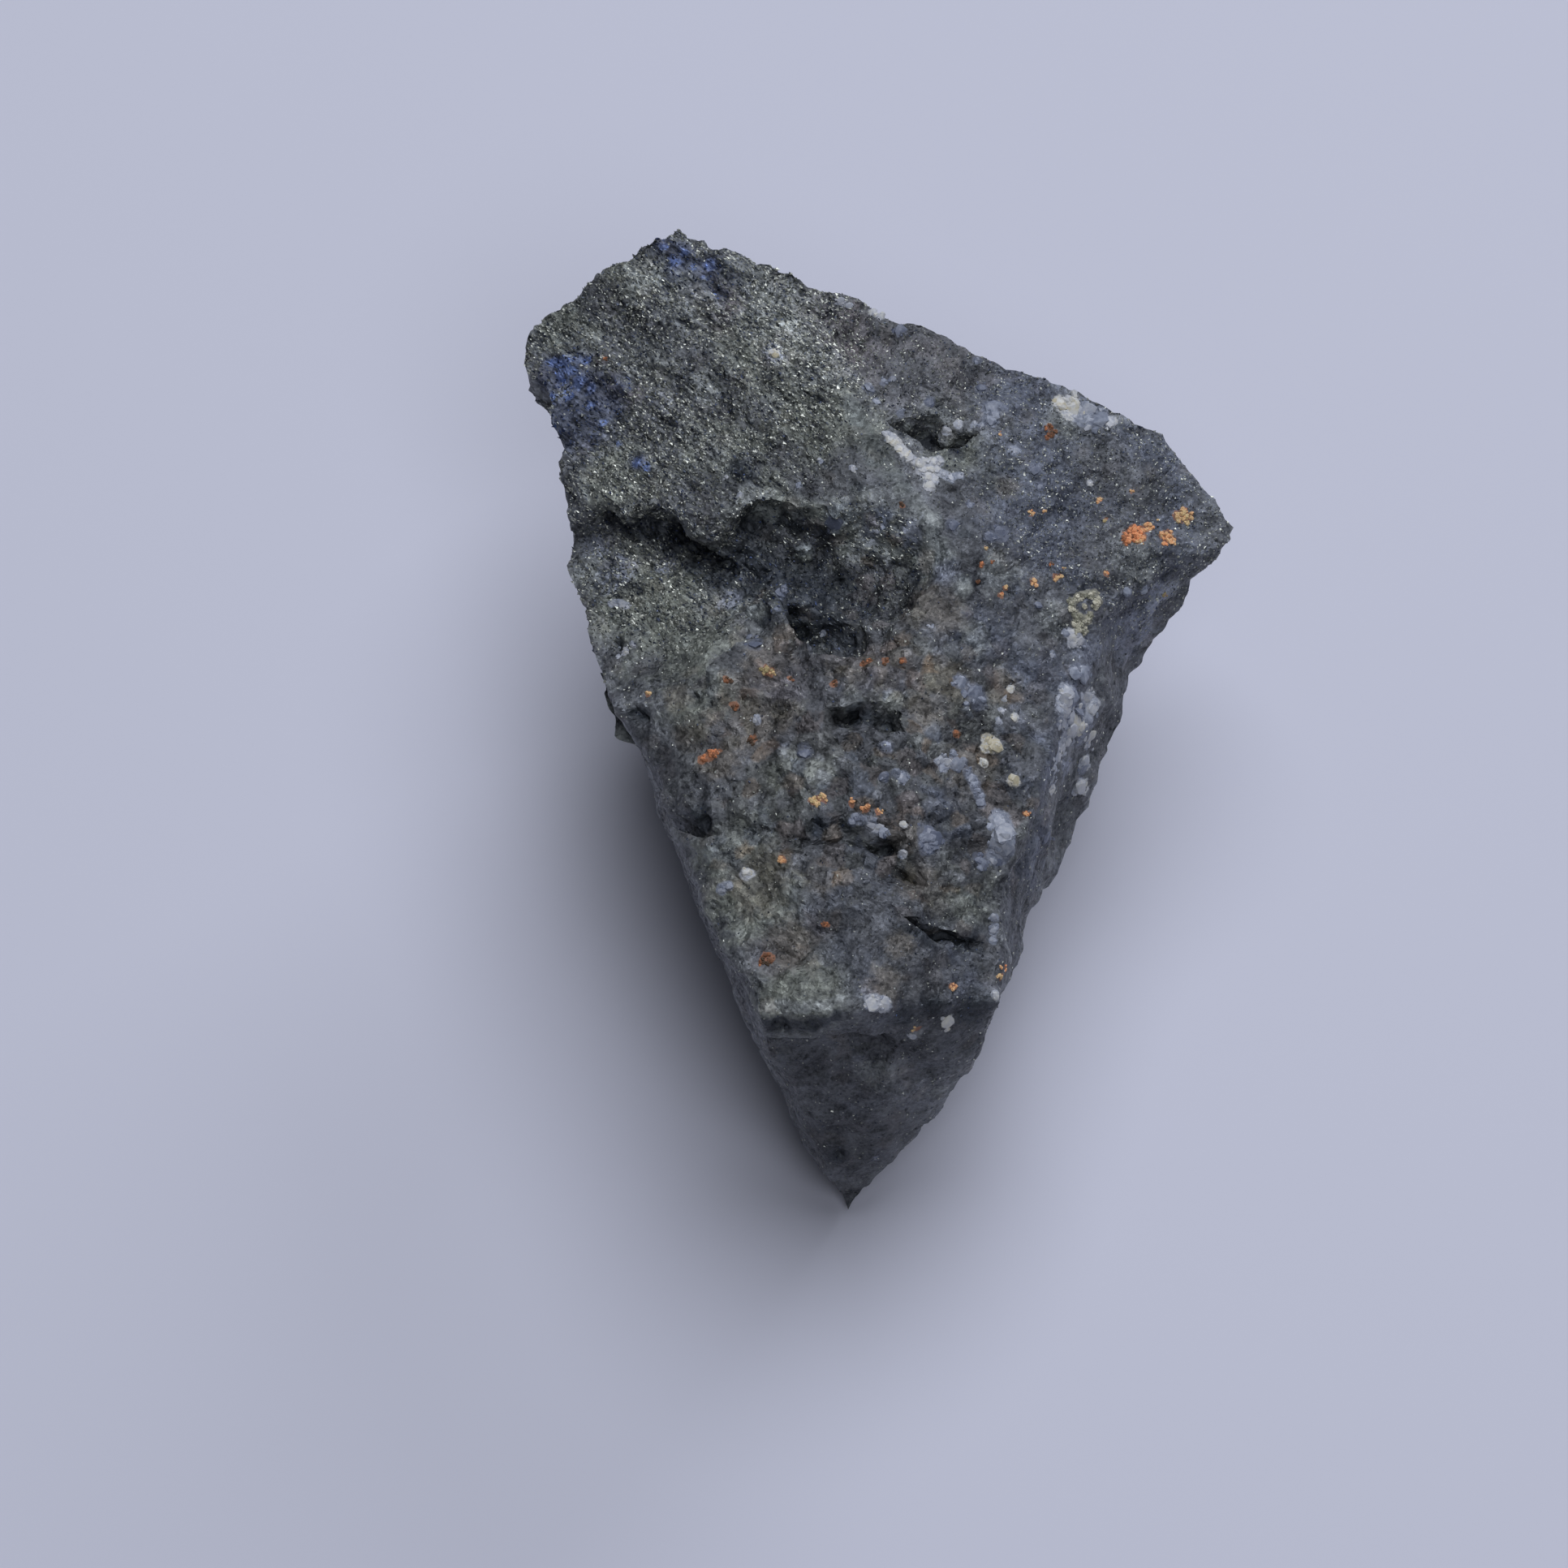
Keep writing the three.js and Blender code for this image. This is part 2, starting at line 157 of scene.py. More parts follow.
# %% [markdown]
# ## Lumps, hollows and teeth
# The rock broke along its grain, so the lip of the ledge hangs down in a tooth, the floor of the
# hollow is lumpy, and the pits are slits with torn edges. The solid has the large forms. These
# smaller ones are made as a sculptor would: a round patch of the surface is swelled out or pressed
# in, or dragged to the right, up the view or towards the camera, by so many hundredths of a
# millimetre. Last, the worn rims of the hollow are rubbed soft.

# %% Swell and press
SWELLS = [
    (1030, 646, 20, 30), (1060, 664, 28, 40), (1098, 660, 28, 45), (988, 674, 26, 30),
    (1050, 702, 26, 25), (1092, 738, 26, 25), (1012, 738, 24, 20), (962, 730, 11, 18),
    (1080, 772, 20, 20), (925, 650, 20, -35), (1128, 703, 20, -40), (985, 783, 17, -45),
    (1048, 793, 14, -25), (883, 684, 16, -40), (902, 678, 18, -45), (918, 692, 20, -40),
    (936, 708, 20, -35), (955, 740, 14, -25), (972, 762, 14, -30), (748, 640, 18, -45),
    (800, 646, 24, -40), (836, 656, 22, -40), (862, 672, 18, -35), (1125, 650, 26, 35),
    (1150, 682, 18, 35), (1090, 917, 12, 15), (1010, 1020, 15, -15), (1095, 1048, 14, -15),
    (1112, 1082, 13, -12), (1070, 880, 14, 10), (1060, 1190, 40, 10), (868, 1014, 15, -40),
    (985, 1222, 42, 15), (1070, 1425, 16, 12), (1035, 1424, 14, -20), (955, 436, 16, 10),
    (1062, 540, 22, 15), (1147, 1034, 18, 15), (1236, 1034, 22, 20), (1168, 540, 18, 45),
    (1120, 524, 12, 15), (1150, 1154, 12, -15), (1180, 1160, 11, -12), (1196, 1165, 11, -18),
    (1126, 1149, 10, -15), (792, 888, 15, -30), (1050, 640, 22, 10), (960, 1264, 15, -15),
    (1002, 1260, 15, -15), (785, 878, 12, -15), (764, 798, 10, -12), (1140, 640, 30, 12),
    (870, 636, 16, 12),
]
DRAGS = [
    (774, 614, 16, 0, -50, 12), (746, 616, 13, 0, 30), (815, 616, 18, 0, 25),
    (850, 640, 16, 10, 20), (940, 622, 16, 0, 15), (985, 622, 12, 0, -20),
    (1030, 628, 12, 0, -25, 5), (858, 294, 14, 0, -20), (745, 346, 34, -12, 20),
    (714, 590, 60, -30, 0), (905, 322, 34, 0, 20), (1000, 362, 60, 0, -16), (1150, 430, 70, 0, 24),
    (1488, 652, 80, 30, 0), (1440, 762, 50, -25, 0), (1400, 826, 64, -55, 0),
    (1402, 800, 46, -28, 0), (885, 672, 26, -10, 45), (778, 342, 34, -8, 42),
    (833, 297, 18, -6, 20), (667, 474, 40, 45, 8), (662, 438, 22, -15, 0), (766, 876, 30, -14, 0),
    (752, 862, 18, -12, 0), (773, 901, 24, -22, 0), (1135, 1142, 34, 0, -24),
    (1410, 790, 30, -30, 0), (1346, 950, 24, 16, 0), (1312, 1018, 60, -38, 0),
    (1122, 532, 40, -12, -12), (1396, 812, 30, -30, 0), (692, 520, 28, -22, 0),
]
SOFTENED = [
    (1090, 652, 56, 120), (1150, 692, 40, 90), (1130, 705, 30, 40), (1080, 800, 30, 40),
    (1140, 560, 16, 40), (1078, 893, 34, 40), (1100, 1060, 30, 40), (838, 290, 26, 40),
    (1496, 654, 16, 30), (888, 662, 32, 100), (1000, 650, 30, 40), (1160, 710, 34, 60),
]


def distances(middle):
    """How far each vertex of the chip is from this place."""
    return np.linalg.norm(places - np.array(middle), axis=1)


def roundness(middle, radius):
    """1 in the middle of a round patch and 0 from its edge on, for each vertex."""
    away = distances(middle) / (radius * MM / UNITS_PER_MM)
    return np.clip(1 - away * away, 0, 1) ** 2


def soften(middle, radius, turns):
    """Moves each vertex of a round patch halfway to the middle of its neighbours, in turns."""
    soft = np.flatnonzero(roundness(middle, radius))
    pairs = [(here, edge.other_vert(chip_mesh.verts[i]).index)
             for here, i in enumerate(soft) for edge in chip_mesh.verts[i].link_edges]
    here, other = np.array(pairs).T
    for _ in range(turns):
        total = np.zeros((len(soft), 3))
        np.add.at(total, here, places[other])
        places[soft] += (total / np.bincount(here)[:, None] - places[soft]) * 0.5


places = np.array([v.co[:] for v in chip_mesh.verts])
normals = np.array([v.normal[:] for v in chip_mesh.verts])
shift = np.zeros_like(places)
for across, down, radius, height in SWELLS:
    middle, facing = place_of(across, down)
    turned_here = np.clip(normals @ np.array(facing) * 1.5, 0, 1)
    weight = roundness(middle, radius) * turned_here
    shift += weight[:, None] * np.array(facing) * (height / 100) * MM
for across, down, radius, right, up, *out in DRAGS:
    way = (RIGHT * (right / 100) + UP * (up / 100) + to_camera * (sum(out) / 100)) * MM
    shift += roundness(place_of(across, down)[0], radius)[:, None] * np.array(way)
places += shift
chip_mesh.verts.ensure_lookup_table()
chip_mesh.verts.index_update()
for across, down, radius, turns in SOFTENED:
    soften(place_of(across, down)[0], radius, turns)
for vertex, place in zip(chip_mesh.verts, places):
    vertex.co = place
chip_mesh.normal_update()
surface = BVHTree.FromBMesh(chip_mesh)
print("moved by at most", round(np.linalg.norm(shift, axis=1).max() / MM, 2), "mm")

# %% [markdown]
# ## Marks on the chip
# Rust, quartz and tarnish lie where the rock happened to have them. Each kind of mark becomes one
# number per vertex: 1 at a mark's middle, 0 at its edge and less outside. The materials add noise
# to that number before they cut it off, so no mark keeps a round edge. Small marks have a tone as
# well, in hundredths. For rust 0 is a dull brown, 30 orange and 100 a pale ochre. For quartz 0 is a
# smoky blue grey, 30 to 60 milky, 85 white and 100 a pale yellow.

# %% Fields of marks
def mark_field(marks):
    """1 in the middle of the nearest mark, 0 at its edge, less outside; and which mark it is."""
    field = np.full(len(places), -3.0)
    nearest = np.zeros(len(places), dtype=int)
    for index, (across, down, radius, *_) in enumerate(marks):
        middle = place_of(across, down)[0]
        if middle is None:
            print("no rock at", across, down)
            continue
        here = 1 - distances(middle) / (radius * MM / UNITS_PER_MM)
        nearest = np.where(here > field, index, nearest)
        field = np.maximum(field, here)
    return field, nearest


print("fields have one number for each of", len(places), "vertices")

# %% [markdown]
# ### Rust
# Iron has weathered out of the ore in a few dozen places, most of it near the right-hand corner.

# %% Rust spots
RUST = [
    (1392, 662, 9, 30), (1399, 654, 9, 32), (1405, 660, 8, 40), (1411, 651, 7, 45),
    (1387, 668, 6, 28), (1418, 649, 5, 60), (1404, 668, 6, 60), (1450, 634, 5, 70),
    (1458, 631, 6, 65), (1466, 636, 5, 70), (1460, 644, 5, 80), (1452, 641, 4, 60),
    (1459, 638, 6, 70), (1441, 664, 6, 55), (1434, 660, 6, 55), (1441, 658, 5, 60),
    (1445, 667, 5, 70), (1437, 668, 5, 50), (1354, 617, 4, 40), (1361, 641, 3, 80),
    (1286, 630, 3, 40), (1271, 632, 4, 45), (1395, 605, 3, 50), (1427, 640, 2, 50),
    (1362, 706, 4, 35), (1274, 718, 5, 55), (1300, 712, 4, 50), (1307, 711, 3, 55),
    (1215, 676, 3, 60), (1222, 691, 3, 20), (1211, 696, 4, 25), (1296, 696, 3, 20),
    (1311, 700, 2, 60), (1239, 724, 3, 60), (1234, 734, 4, 30), (1207, 717, 3, 10),
    (1435, 733, 4, 100), (1474, 717, 3, 50), (1111, 622, 4, 5), (1292, 526, 5, 12),
    (1296, 533, 6, 12), (1292, 539, 4, 15), (1233, 535, 2, 50), (744, 441, 4, 15),
    (1112, 813, 4, 18), (1071, 816, 5, 10), (1062, 818, 4, 10), (975, 837, 4, 5),
    (799, 855, 4, 50), (876, 930, 8, 20), (868, 934, 6, 16), (884, 926, 5, 22), (926, 912, 7, 5),
    (1048, 986, 5, 50), (1066, 995, 6, 50), (1084, 999, 5, 60), (1267, 1002, 5, 45),
    (963, 1060, 5, 60), (1016, 1139, 5, 20), (945, 1182, 8, 10), (937, 1186, 5, 10),
    (1236, 1193, 5, 45), (1231, 1202, 4, 60), (1175, 1215, 5, 50), (1127, 1268, 4, 60),
    (1004, 986, 8, 80), (1014, 983, 6, 75), (943, 826, 7, 95), (952, 829, 5, 90),
    (898, 838, 5, 10), (1090, 815, 5, 10), (1028, 842, 5, 10), (905, 870, 5, 5),
    (1180, 905, 5, 10),
]
rust_field = mark_field(RUST)[0]
print(len(RUST), "rust spots cover", round(100 * np.mean(rust_field > 0), 2), "% of the vertices")

# %% [markdown]
# ### Quartz
# A glassy lump sits in the back edge, a white sliver lies in front of the pocket, and a vein runs
# down the right flank. The rest are single grains in the rubbly middle. A vein or a long grain is a
# row of small marks, so that it can bend.

# %% Quartz and other pale grains
QUARTZ = [
    (1310, 496, 10, 100), (1320, 502, 15, 95), (1336, 508, 17, 55), (1352, 514, 15, 35),
    # The pale yellow grain at (955, 436) stands for a small yellowish highlight: a painted
    # highlight.
    (1366, 519, 9, 75), (955, 436, 5, 110), (771, 804, 4, 90), (781, 797, 3, 70),
    (762, 809, 3, 60), (1092, 535, 5, 70), (1097, 540, 6, 85), (1103, 546, 7, 95),
    (1109, 552, 7, 95), (1115, 558, 7, 90), (1121, 564, 6, 80), (1133, 570, 7, 85),
    (1141, 567, 7, 80), (1150, 568, 7, 80), (1158, 567, 6, 70), (1137, 578, 7, 80),
    (1146, 577, 7, 90), (1155, 578, 6, 75), (1143, 587, 7, 85), (1150, 590, 6, 75),
    (1146, 598, 6, 90), (1164, 584, 6, 65), (1173, 588, 6, 60), (1182, 586, 5, 50),
    (1182, 521, 5, 75), (1080, 494, 5, 40), (1110, 509, 5, 35), (1225, 512, 7, 40),
    (1090, 470, 5, 30), (1167, 530, 5, 75), (1200, 522, 4, 60), (1209, 523, 4, 50),
    (1225, 503, 12, 30), (1221, 518, 9, 35), (1210, 477, 7, 5), (1145, 496, 7, 10),
    (1070, 477, 7, 30), (1100, 467, 4, 50), (1250, 555, 5, 55), (1275, 577, 7, 5),
    (1204, 445, 5, 10), (1282, 600, 5, 20), (1344, 596, 4, 80), (1195, 622, 5, 20),
    (1232, 657, 10, 10), (1220, 661, 8, 10), (1175, 647, 7, 0), (1026, 645, 9, 0),
    (962, 730, 8, 15), (1036, 371, 6, 70), (1046, 377, 4, 60), (1076, 384, 6, 80),
    (1087, 388, 5, 80), (1110, 407, 8, 10), (1315, 852, 10, 65), (1314, 864, 11, 70),
    (1313, 876, 10, 70), (1312, 889, 10, 60), (1323, 858, 9, 35), (1320, 884, 9, 60),
    (1330, 874, 11, 30), (1340, 861, 12, 75), (1347, 872, 10, 75), (1342, 884, 9, 50),
    (1328, 891, 13, 90), (1322, 901, 11, 75), (1316, 912, 9, 70), (1310, 923, 8, 70),
    (1305, 935, 8, 65), (1300, 949, 7, 55), (1298, 961, 6, 55), (1297, 974, 6, 90),
    (1344, 909, 9, 90), (1342, 917, 7, 65), (1338, 939, 9, 70), (1336, 948, 7, 30),
    (1333, 970, 10, 75), (1339, 965, 5, 90), (1326, 976, 5, 65), (1337, 832, 10, 40),
    (1326, 829, 8, 35), (1320, 783, 8, 80), (1329, 788, 7, 70), (1322, 793, 6, 75),
    (1313, 780, 5, 40), (1389, 729, 6, 35), (1410, 727, 6, 40), (1280, 745, 5, 0),
    (1201, 857, 14, 25), (1185, 842, 10, 30), (1112, 958, 8, 45), (1104, 953, 6, 35),
    (1089, 957, 6, 5), (1054, 1004, 6, 35), (1063, 1010, 6, 40), (1072, 1015, 7, 65),
    (1081, 1021, 7, 65), (1089, 1026, 6, 35), (1050, 1012, 5, 25), (1142, 1026, 12, 12),
    (1152, 1033, 12, 6), (1143, 1041, 11, 10), (1232, 1012, 13, 50), (1238, 1026, 14, 50),
    (1235, 1042, 15, 50), (1228, 1054, 11, 45), (1210, 1064, 7, 30), (1206, 1058, 7, 10),
    (1160, 938, 8, 60), (1168, 941, 7, 70), (1179, 942, 8, 45), (1187, 940, 6, 40),
    (1176, 928, 5, 40), (1162, 948, 6, 45), (1194, 952, 6, 30), (1198, 959, 6, 40),
    (1201, 966, 6, 40), (1204, 973, 6, 35), (1207, 980, 6, 30), (1209, 988, 6, 25),
    (992, 926, 9, 5), (930, 793, 10, 10), (758, 745, 6, 60), (766, 746, 5, 70), (773, 748, 4, 65),
    (886, 744, 3, 70), (957, 750, 4, 30), (1290, 1030, 8, 10), (1227, 1227, 6, 80),
    (889, 1096, 6, 50), (899, 1091, 5, 50), (920, 1076, 7, 90), (1224, 1131, 5, 50),
    (1225, 1144, 6, 50), (1224, 1157, 5, 50), (1076, 1236, 10, 75), (1088, 1237, 9, 70),
    (1168, 1260, 9, 90), (930, 887, 5, 70), (1216, 911, 6, 115), (1223, 917, 8, 115),
    (1229, 921, 6, 110), (1215, 921, 5, 110), (1248, 961, 7, 110), (1244, 850, 5, 100),
    (1235, 876, 4, 70), (1250, 884, 5, 95), (1212, 939, 5, 100), (1238, 862, 3, 80),
    (1229, 888, 4, 60), (1112, 1016, 5, 90), (1122, 1276, 4, 80), (1113, 1052, 5, 70),
    (1296, 808, 4, 50), (1012, 782, 3, 60), (1145, 772, 3, 60), (1080, 655, 3, 60),
    (912, 611, 3, 70), (895, 588, 3, 80), (984, 596, 4, 40), (1052, 578, 4, 70),
    (1010, 566, 3, 60),
]
quartz_field, nearest_quartz = mark_field(QUARTZ)
quartz_tone = np.array([mark[3] / 100 for mark in QUARTZ])[nearest_quartz]
print(len(QUARTZ), "pale grains cover", round(100 * np.mean(quartz_field > 0), 2), "%")

# %% [markdown]
# ### Crust and patches
# A dry khaki crust has grown near the crest. The patches are only differences of colour: olive,
# brown and slate-blue ore, a blue tarnish in two places on the left, and rims that were rubbed
# pale. The shaded patches are painted shade on ground in deep shade, and the dim ones are in part
# painted shade. The lit patches are painted light where the lamps leave the rock dark, and the
# worn and pale ones are in part painted light.

# %% Crust and broad patches
CRUST = [
    (1320, 742, 6), (1327, 738, 6), (1334, 736, 6), (1342, 733, 6), (1349, 734, 7), (1353, 741, 6),
    (1350, 747, 5), (1321, 751, 5), (1326, 757, 6), (1332, 762, 6), (1339, 764, 6), (1343, 758, 5),
    (1326, 768, 5), (1333, 772, 6), (1337, 779, 5), (1328, 777, 5), (1336, 748, 3),
]
PATCHES = {
    "olive": [
        (950, 430, 70), (930, 560, 90), (1010, 520, 70), (1060, 550, 40), (820, 740, 90),
        (850, 800, 70), (760, 700, 40), (890, 880, 60), (780, 330, 40), (700, 400, 40),
        (1180, 560, 36), (1240, 590, 36), (960, 980, 60), (1190, 1100, 44), (930, 1110, 60),
        (985, 1215, 60), (1180, 870, 50), (900, 1040, 50), (760, 590, 50), (1020, 950, 50),
        (1090, 945, 30),
    ],
    "slate": [
        (1220, 640, 70), (1300, 600, 100), (1400, 600, 90), (1280, 700, 100), (1400, 700, 90),
        (1220, 780, 70), (1280, 840, 70), (1200, 740, 60), (1280, 940, 60), (1270, 1060, 60),
        (1060, 1130, 60), (1110, 1180, 60), (1180, 1200, 60), (1250, 1130, 50), (720, 510, 50),
        (1150, 1000, 60), (1040, 1000, 50), (860, 350, 50), (1100, 1210, 50), (1250, 480, 60),
        (1040, 890, 40), (960, 900, 40), (1080, 830, 50),
    ],
    "brown": [
        (880, 370, 36), (1000, 385, 36), (1050, 420, 50), (1110, 445, 60), (770, 480, 26),
        (1050, 830, 60), (960, 850, 50), (910, 910, 44), (1000, 905, 40), (1180, 440, 50),
        (950, 1180, 26), (1140, 1210, 30), (740, 445, 12), (1010, 1140, 20),
    ],
    # Partly darker ore and partly painted shade: on the front face, in the hollow and along the
    # band under the ledge.
    "dim_and_painted_shade": [
        (1030, 842, 16), (1002, 602, 18), (1060, 606, 18), (1190, 735, 24), (1062, 715, 16),
        (1045, 570, 32), (1058, 590, 26), (1040, 595, 20), (902, 604, 24), (990, 592, 24),
        (1165, 758, 24), (1150, 748, 20), (1400, 600, 30), (930, 566, 16), (790, 900, 18),
        (1280, 870, 30), (1130, 968, 30), (920, 972, 34), (905, 918, 34), (1190, 1066, 30),
        (1070, 1068, 26), (1115, 1140, 30), (1022, 836, 30), (1150, 868, 26), (1395, 600, 44),
        (1190, 436, 44), (1100, 405, 30), (1120, 460, 40), (1360, 575, 44), (830, 940, 44),
        (915, 930, 44), (860, 970, 40), (800, 820, 20), (900, 810, 26), (1180, 615, 40),
        (865, 612, 38), (1000, 720, 34), (1045, 738, 34), (1048, 582, 20), (1100, 780, 30),
        (1050, 835, 22), (1125, 960, 40), (1060, 945, 24), (1070, 1068, 30), (1190, 1055, 34),
        (1280, 880, 24), (1260, 935, 30), (970, 1172, 34), (1220, 1185, 30), (1100, 1145, 34),
        (1130, 730, 20), (735, 368, 26), (810, 425, 34), (850, 455, 36), (890, 485, 34),
        (925, 510, 28), (965, 560, 26), (1040, 900, 90), (1080, 980, 90), (1150, 930, 70),
        (1000, 1010, 60), (1120, 1080, 60), (1060, 1130, 60), (1130, 1200, 70), (1220, 1000, 70),
        (1030, 1300, 90), (1130, 1290, 60), (1050, 1400, 80), (1190, 1270, 60), (1000, 690, 60),
        (1070, 745, 60), (960, 900, 50), (1250, 1130, 50), (1200, 850, 60), (800, 300, 30),
        (880, 1000, 40), (700, 560, 30), (1210, 700, 60), (1290, 760, 60), (1380, 690, 60),
    ],
    "tarnish": [
        (768, 472, 16), (680, 450, 16), (672, 470, 16), (690, 520, 18), (715, 443, 16),
        (698, 452, 18), (685, 466, 18), (716, 475, 20), (735, 485, 28), (705, 505, 24),
        (755, 500, 20), (720, 528, 24), (700, 540, 18), (838, 312, 18), (838, 332, 18),
        (876, 330, 18), (860, 350, 18), (888, 360, 14), (815, 300, 18), (784, 568, 14),
        (765, 470, 12), (850, 290, 14), (905, 345, 12),
    ],
    "blue": [
        (682, 447, 9), (692, 452, 9), (702, 444, 8), (712, 441, 9), (722, 446, 7), (703, 459, 9),
        (714, 470, 8), (690, 468, 8), (728, 478, 7), (700, 486, 7), (726, 500, 6), (682, 490, 6),
        (745, 520, 5), (760, 548, 5), (784, 566, 8), (795, 574, 6), (820, 304, 6), (832, 322, 8),
        (842, 312, 6), (876, 325, 8), (866, 342, 5), (856, 330, 5),
    ],
    # Painted shade: under the lip of the ledge, in the hollow, the pits and the crack, and under
    # the front lip.
    "shaded": [
        (1003, 716, 26), (1030, 722, 20), (985, 708, 24), (1010, 700, 14), (1106, 1146, 9),
        (1202, 1166, 11), (1120, 1149, 11), (1142, 1154, 12), (1163, 1158, 12), (1184, 1163, 12),
        (940, 1260, 10), (955, 1263, 11), (970, 1265, 11), (985, 1265, 11), (1000, 1262, 11),
        (1015, 1259, 10), (1030, 1254, 9), (868, 1018, 10), (985, 783, 12), (1322, 932, 8),
        (1324, 955, 9), (1350, 930, 7), (792, 885, 13), (755, 640, 12), (775, 650, 12),
        (800, 648, 24), (832, 656, 26), (826, 674, 16), (862, 672, 26), (856, 696, 18),
        (886, 690, 28), (884, 716, 20), (908, 695, 28), (932, 712, 30), (914, 736, 20),
        (920, 655, 24), (942, 752, 22), (965, 750, 26), (950, 640, 20), (985, 645, 14),
        (1012, 655, 12), (975, 765, 26), (985, 786, 30), (1020, 772, 26), (1050, 793, 20),
        (1030, 790, 20), (1130, 706, 18), (1100, 694, 8), (980, 728, 34), (1010, 738, 28),
        (935, 692, 28), (958, 705, 30), (1045, 735, 18), (1068, 752, 14), (1142, 548, 14),
        (1176, 556, 12), (1112, 535, 8), (1055, 887, 13), (1075, 884, 12), (1097, 896, 15),
        (1095, 1050, 14), (1112, 1082, 14), (1010, 1020, 16), (1045, 1015, 9), (1115, 1146, 11),
        (1132, 1149, 13), (1152, 1153, 14), (1172, 1158, 14), (1192, 1163, 13), (1003, 884, 7),
        (765, 798, 9), (780, 878, 10), (868, 1012, 16), (880, 1035, 12), (1030, 1424, 16),
        (1150, 1240, 22), (1200, 1245, 24), (1110, 1252, 18), (962, 742, 8), (910, 575, 14),
        (925, 592, 14), (880, 560, 10), (1060, 600, 12), (1155, 720, 12), (1182, 820, 9),
        (860, 1000, 14), (1190, 660, 10),
    ],
    # Painted light, mostly where the rock lies in shade: the hollow's rim, the front lip and the
    # front face.
    "lit": [
        (1080, 1325, 24), (1030, 645, 14), (960, 390, 50), (850, 376, 36), (925, 345, 30),
        (955, 436, 26), (1010, 450, 34), (795, 338, 26), (800, 446, 34), (870, 476, 24),
        (715, 425, 24), (880, 556, 24), (1080, 636, 36), (1112, 650, 36), (1050, 640, 24),
        (1060, 672, 24), (1145, 690, 26), (740, 700, 34), (730, 665, 18), (870, 740, 20),
        (1160, 512, 26), (1400, 690, 30), (1075, 640, 40), (1118, 662, 40), (930, 612, 20),
        (1300, 765, 22), (1010, 948, 18), (905, 1045, 30), (1440, 730, 20), (1045, 355, 16),
        (1230, 705, 30), (1050, 866, 14), (1100, 862, 14), (975, 945, 20), (885, 1030, 14),
        (1155, 1110, 18), (1155, 1345, 12), (1125, 1274, 9), (943, 1240, 8), (956, 1242, 8),
        (969, 1243, 8), (982, 1242, 8), (995, 1240, 8), (1008, 1238, 8), (1021, 1236, 8),
        (1034, 1233, 7), (1310, 520, 24), (1200, 790, 20), (880, 850, 14), (940, 740, 16),
    ],
    "rusty": [
        # The first rusty mark, at (955, 436), is part of a painted highlight.
        (955, 436, 20), (975, 1165, 34), (1010, 1080, 22), (925, 895, 34), (1140, 872, 24),
        (1150, 745, 40), (1100, 818, 36), (1050, 818, 30), (1165, 842, 34), (1195, 946, 34),
        (950, 815, 34), (905, 850, 22), (960, 880, 24), (885, 938, 24), (940, 1082, 40),
        (1115, 1022, 32), (1130, 1088, 26), (1110, 1165, 20), (1092, 1212, 24), (835, 855, 20),
        (850, 905, 20), (1235, 850, 20), (1150, 1108, 20), (1240, 600, 16), (890, 745, 16),
    ],
    "khaki": [
        (1048, 500, 13), (1055, 514, 15), (1063, 530, 16), (1073, 546, 16), (1084, 564, 15),
        (1097, 583, 14), (1110, 602, 14), (1124, 620, 14), (1138, 636, 15), (1150, 652, 15),
        (1158, 670, 14), (1160, 690, 12),
    ],
    # Partly rims rubbed pale and partly painted light on the hollow's rim, the pocket's lumps and
    # the left flap, which lie in shade.
    "wear_and_painted_light": [
        (1030, 640, 22), (1052, 640, 24), (1078, 645, 24), (1045, 668, 16), (1088, 668, 22),
        (1106, 660, 18), (1145, 676, 22), (1128, 690, 12), (1162, 690, 18), (1188, 722, 14),
        (1150, 652, 14), (990, 680, 12), (985, 630, 14), (1005, 632, 16), (930, 634, 12),
        (950, 632, 12), (910, 748, 16), (930, 756, 12), (795, 338, 18), (965, 400, 14),
        (955, 440, 10), (1137, 536, 8), (1118, 528, 7), (751, 867, 9), (766, 903, 12),
        (775, 914, 8),
    ],
    "milky": [
        (1316, 856, 9), (1322, 868, 11), (1334, 866, 11), (1344, 872, 9), (1330, 882, 12),
        (1322, 896, 9), (1314, 908, 8), (1308, 920, 7), (1304, 932, 7), (1300, 945, 6),
        (1298, 958, 6), (1298, 970, 5), (1343, 913, 7), (1337, 944, 7), (1332, 972, 7),
    ],
    # Partly paler rock along the quartz vein and the flank, and partly painted light on the
    # hollow's rim, under the ledge and as a small highlight.
    "pale": [
        (1320, 872, 20), (1335, 895, 26), (1312, 950, 16), (1082, 645, 22), (1116, 662, 22),
        (1165, 704, 18), (735, 672, 22), (757, 706, 24), (955, 436, 14), (1340, 800, 26),
        (1400, 780, 40), (1430, 740, 30), (700, 650, 10), (820, 695, 14), (760, 690, 16),
        (900, 735, 12), (1075, 1430, 8), (1090, 918, 10),
    ],
}
crust_field = mark_field(CRUST)[0]
patch_fields = {kind: mark_field(marks)[0] for kind, marks in PATCHES.items()}
print("patches:", {kind: len(marks) for kind, marks in PATCHES.items()})

# %% [markdown]
# ## Breaking up the surface
# First the whole surface is warped sideways by a soft noise, so that the ledge and the pits get
# ragged lips. Then it is pushed in and out along the way it faces: lumps of about a millimetre,
# clasts of half of that, streaks on the upper plate, and last a random push for each vertex. The
# mesh is flat shaded, so this last push turns each small face into a crystal face. A clast is a
# broken bit that the rock was cemented from, with its own height and its own tint. Noise and random
# draws start from a fixed number, so the chip comes out the same every time.

# %% Noise for the rock
STREAK = Vector((0.74, -0.66, -0.12)).normalized()
DRAWN_OUT = 0.75
SEED = np.random.default_rng(31)
noise.seed_set(31)


def lumps(place, size):
    return noise.fractal(place / (size * MM), 0.9, 2.1, 4)


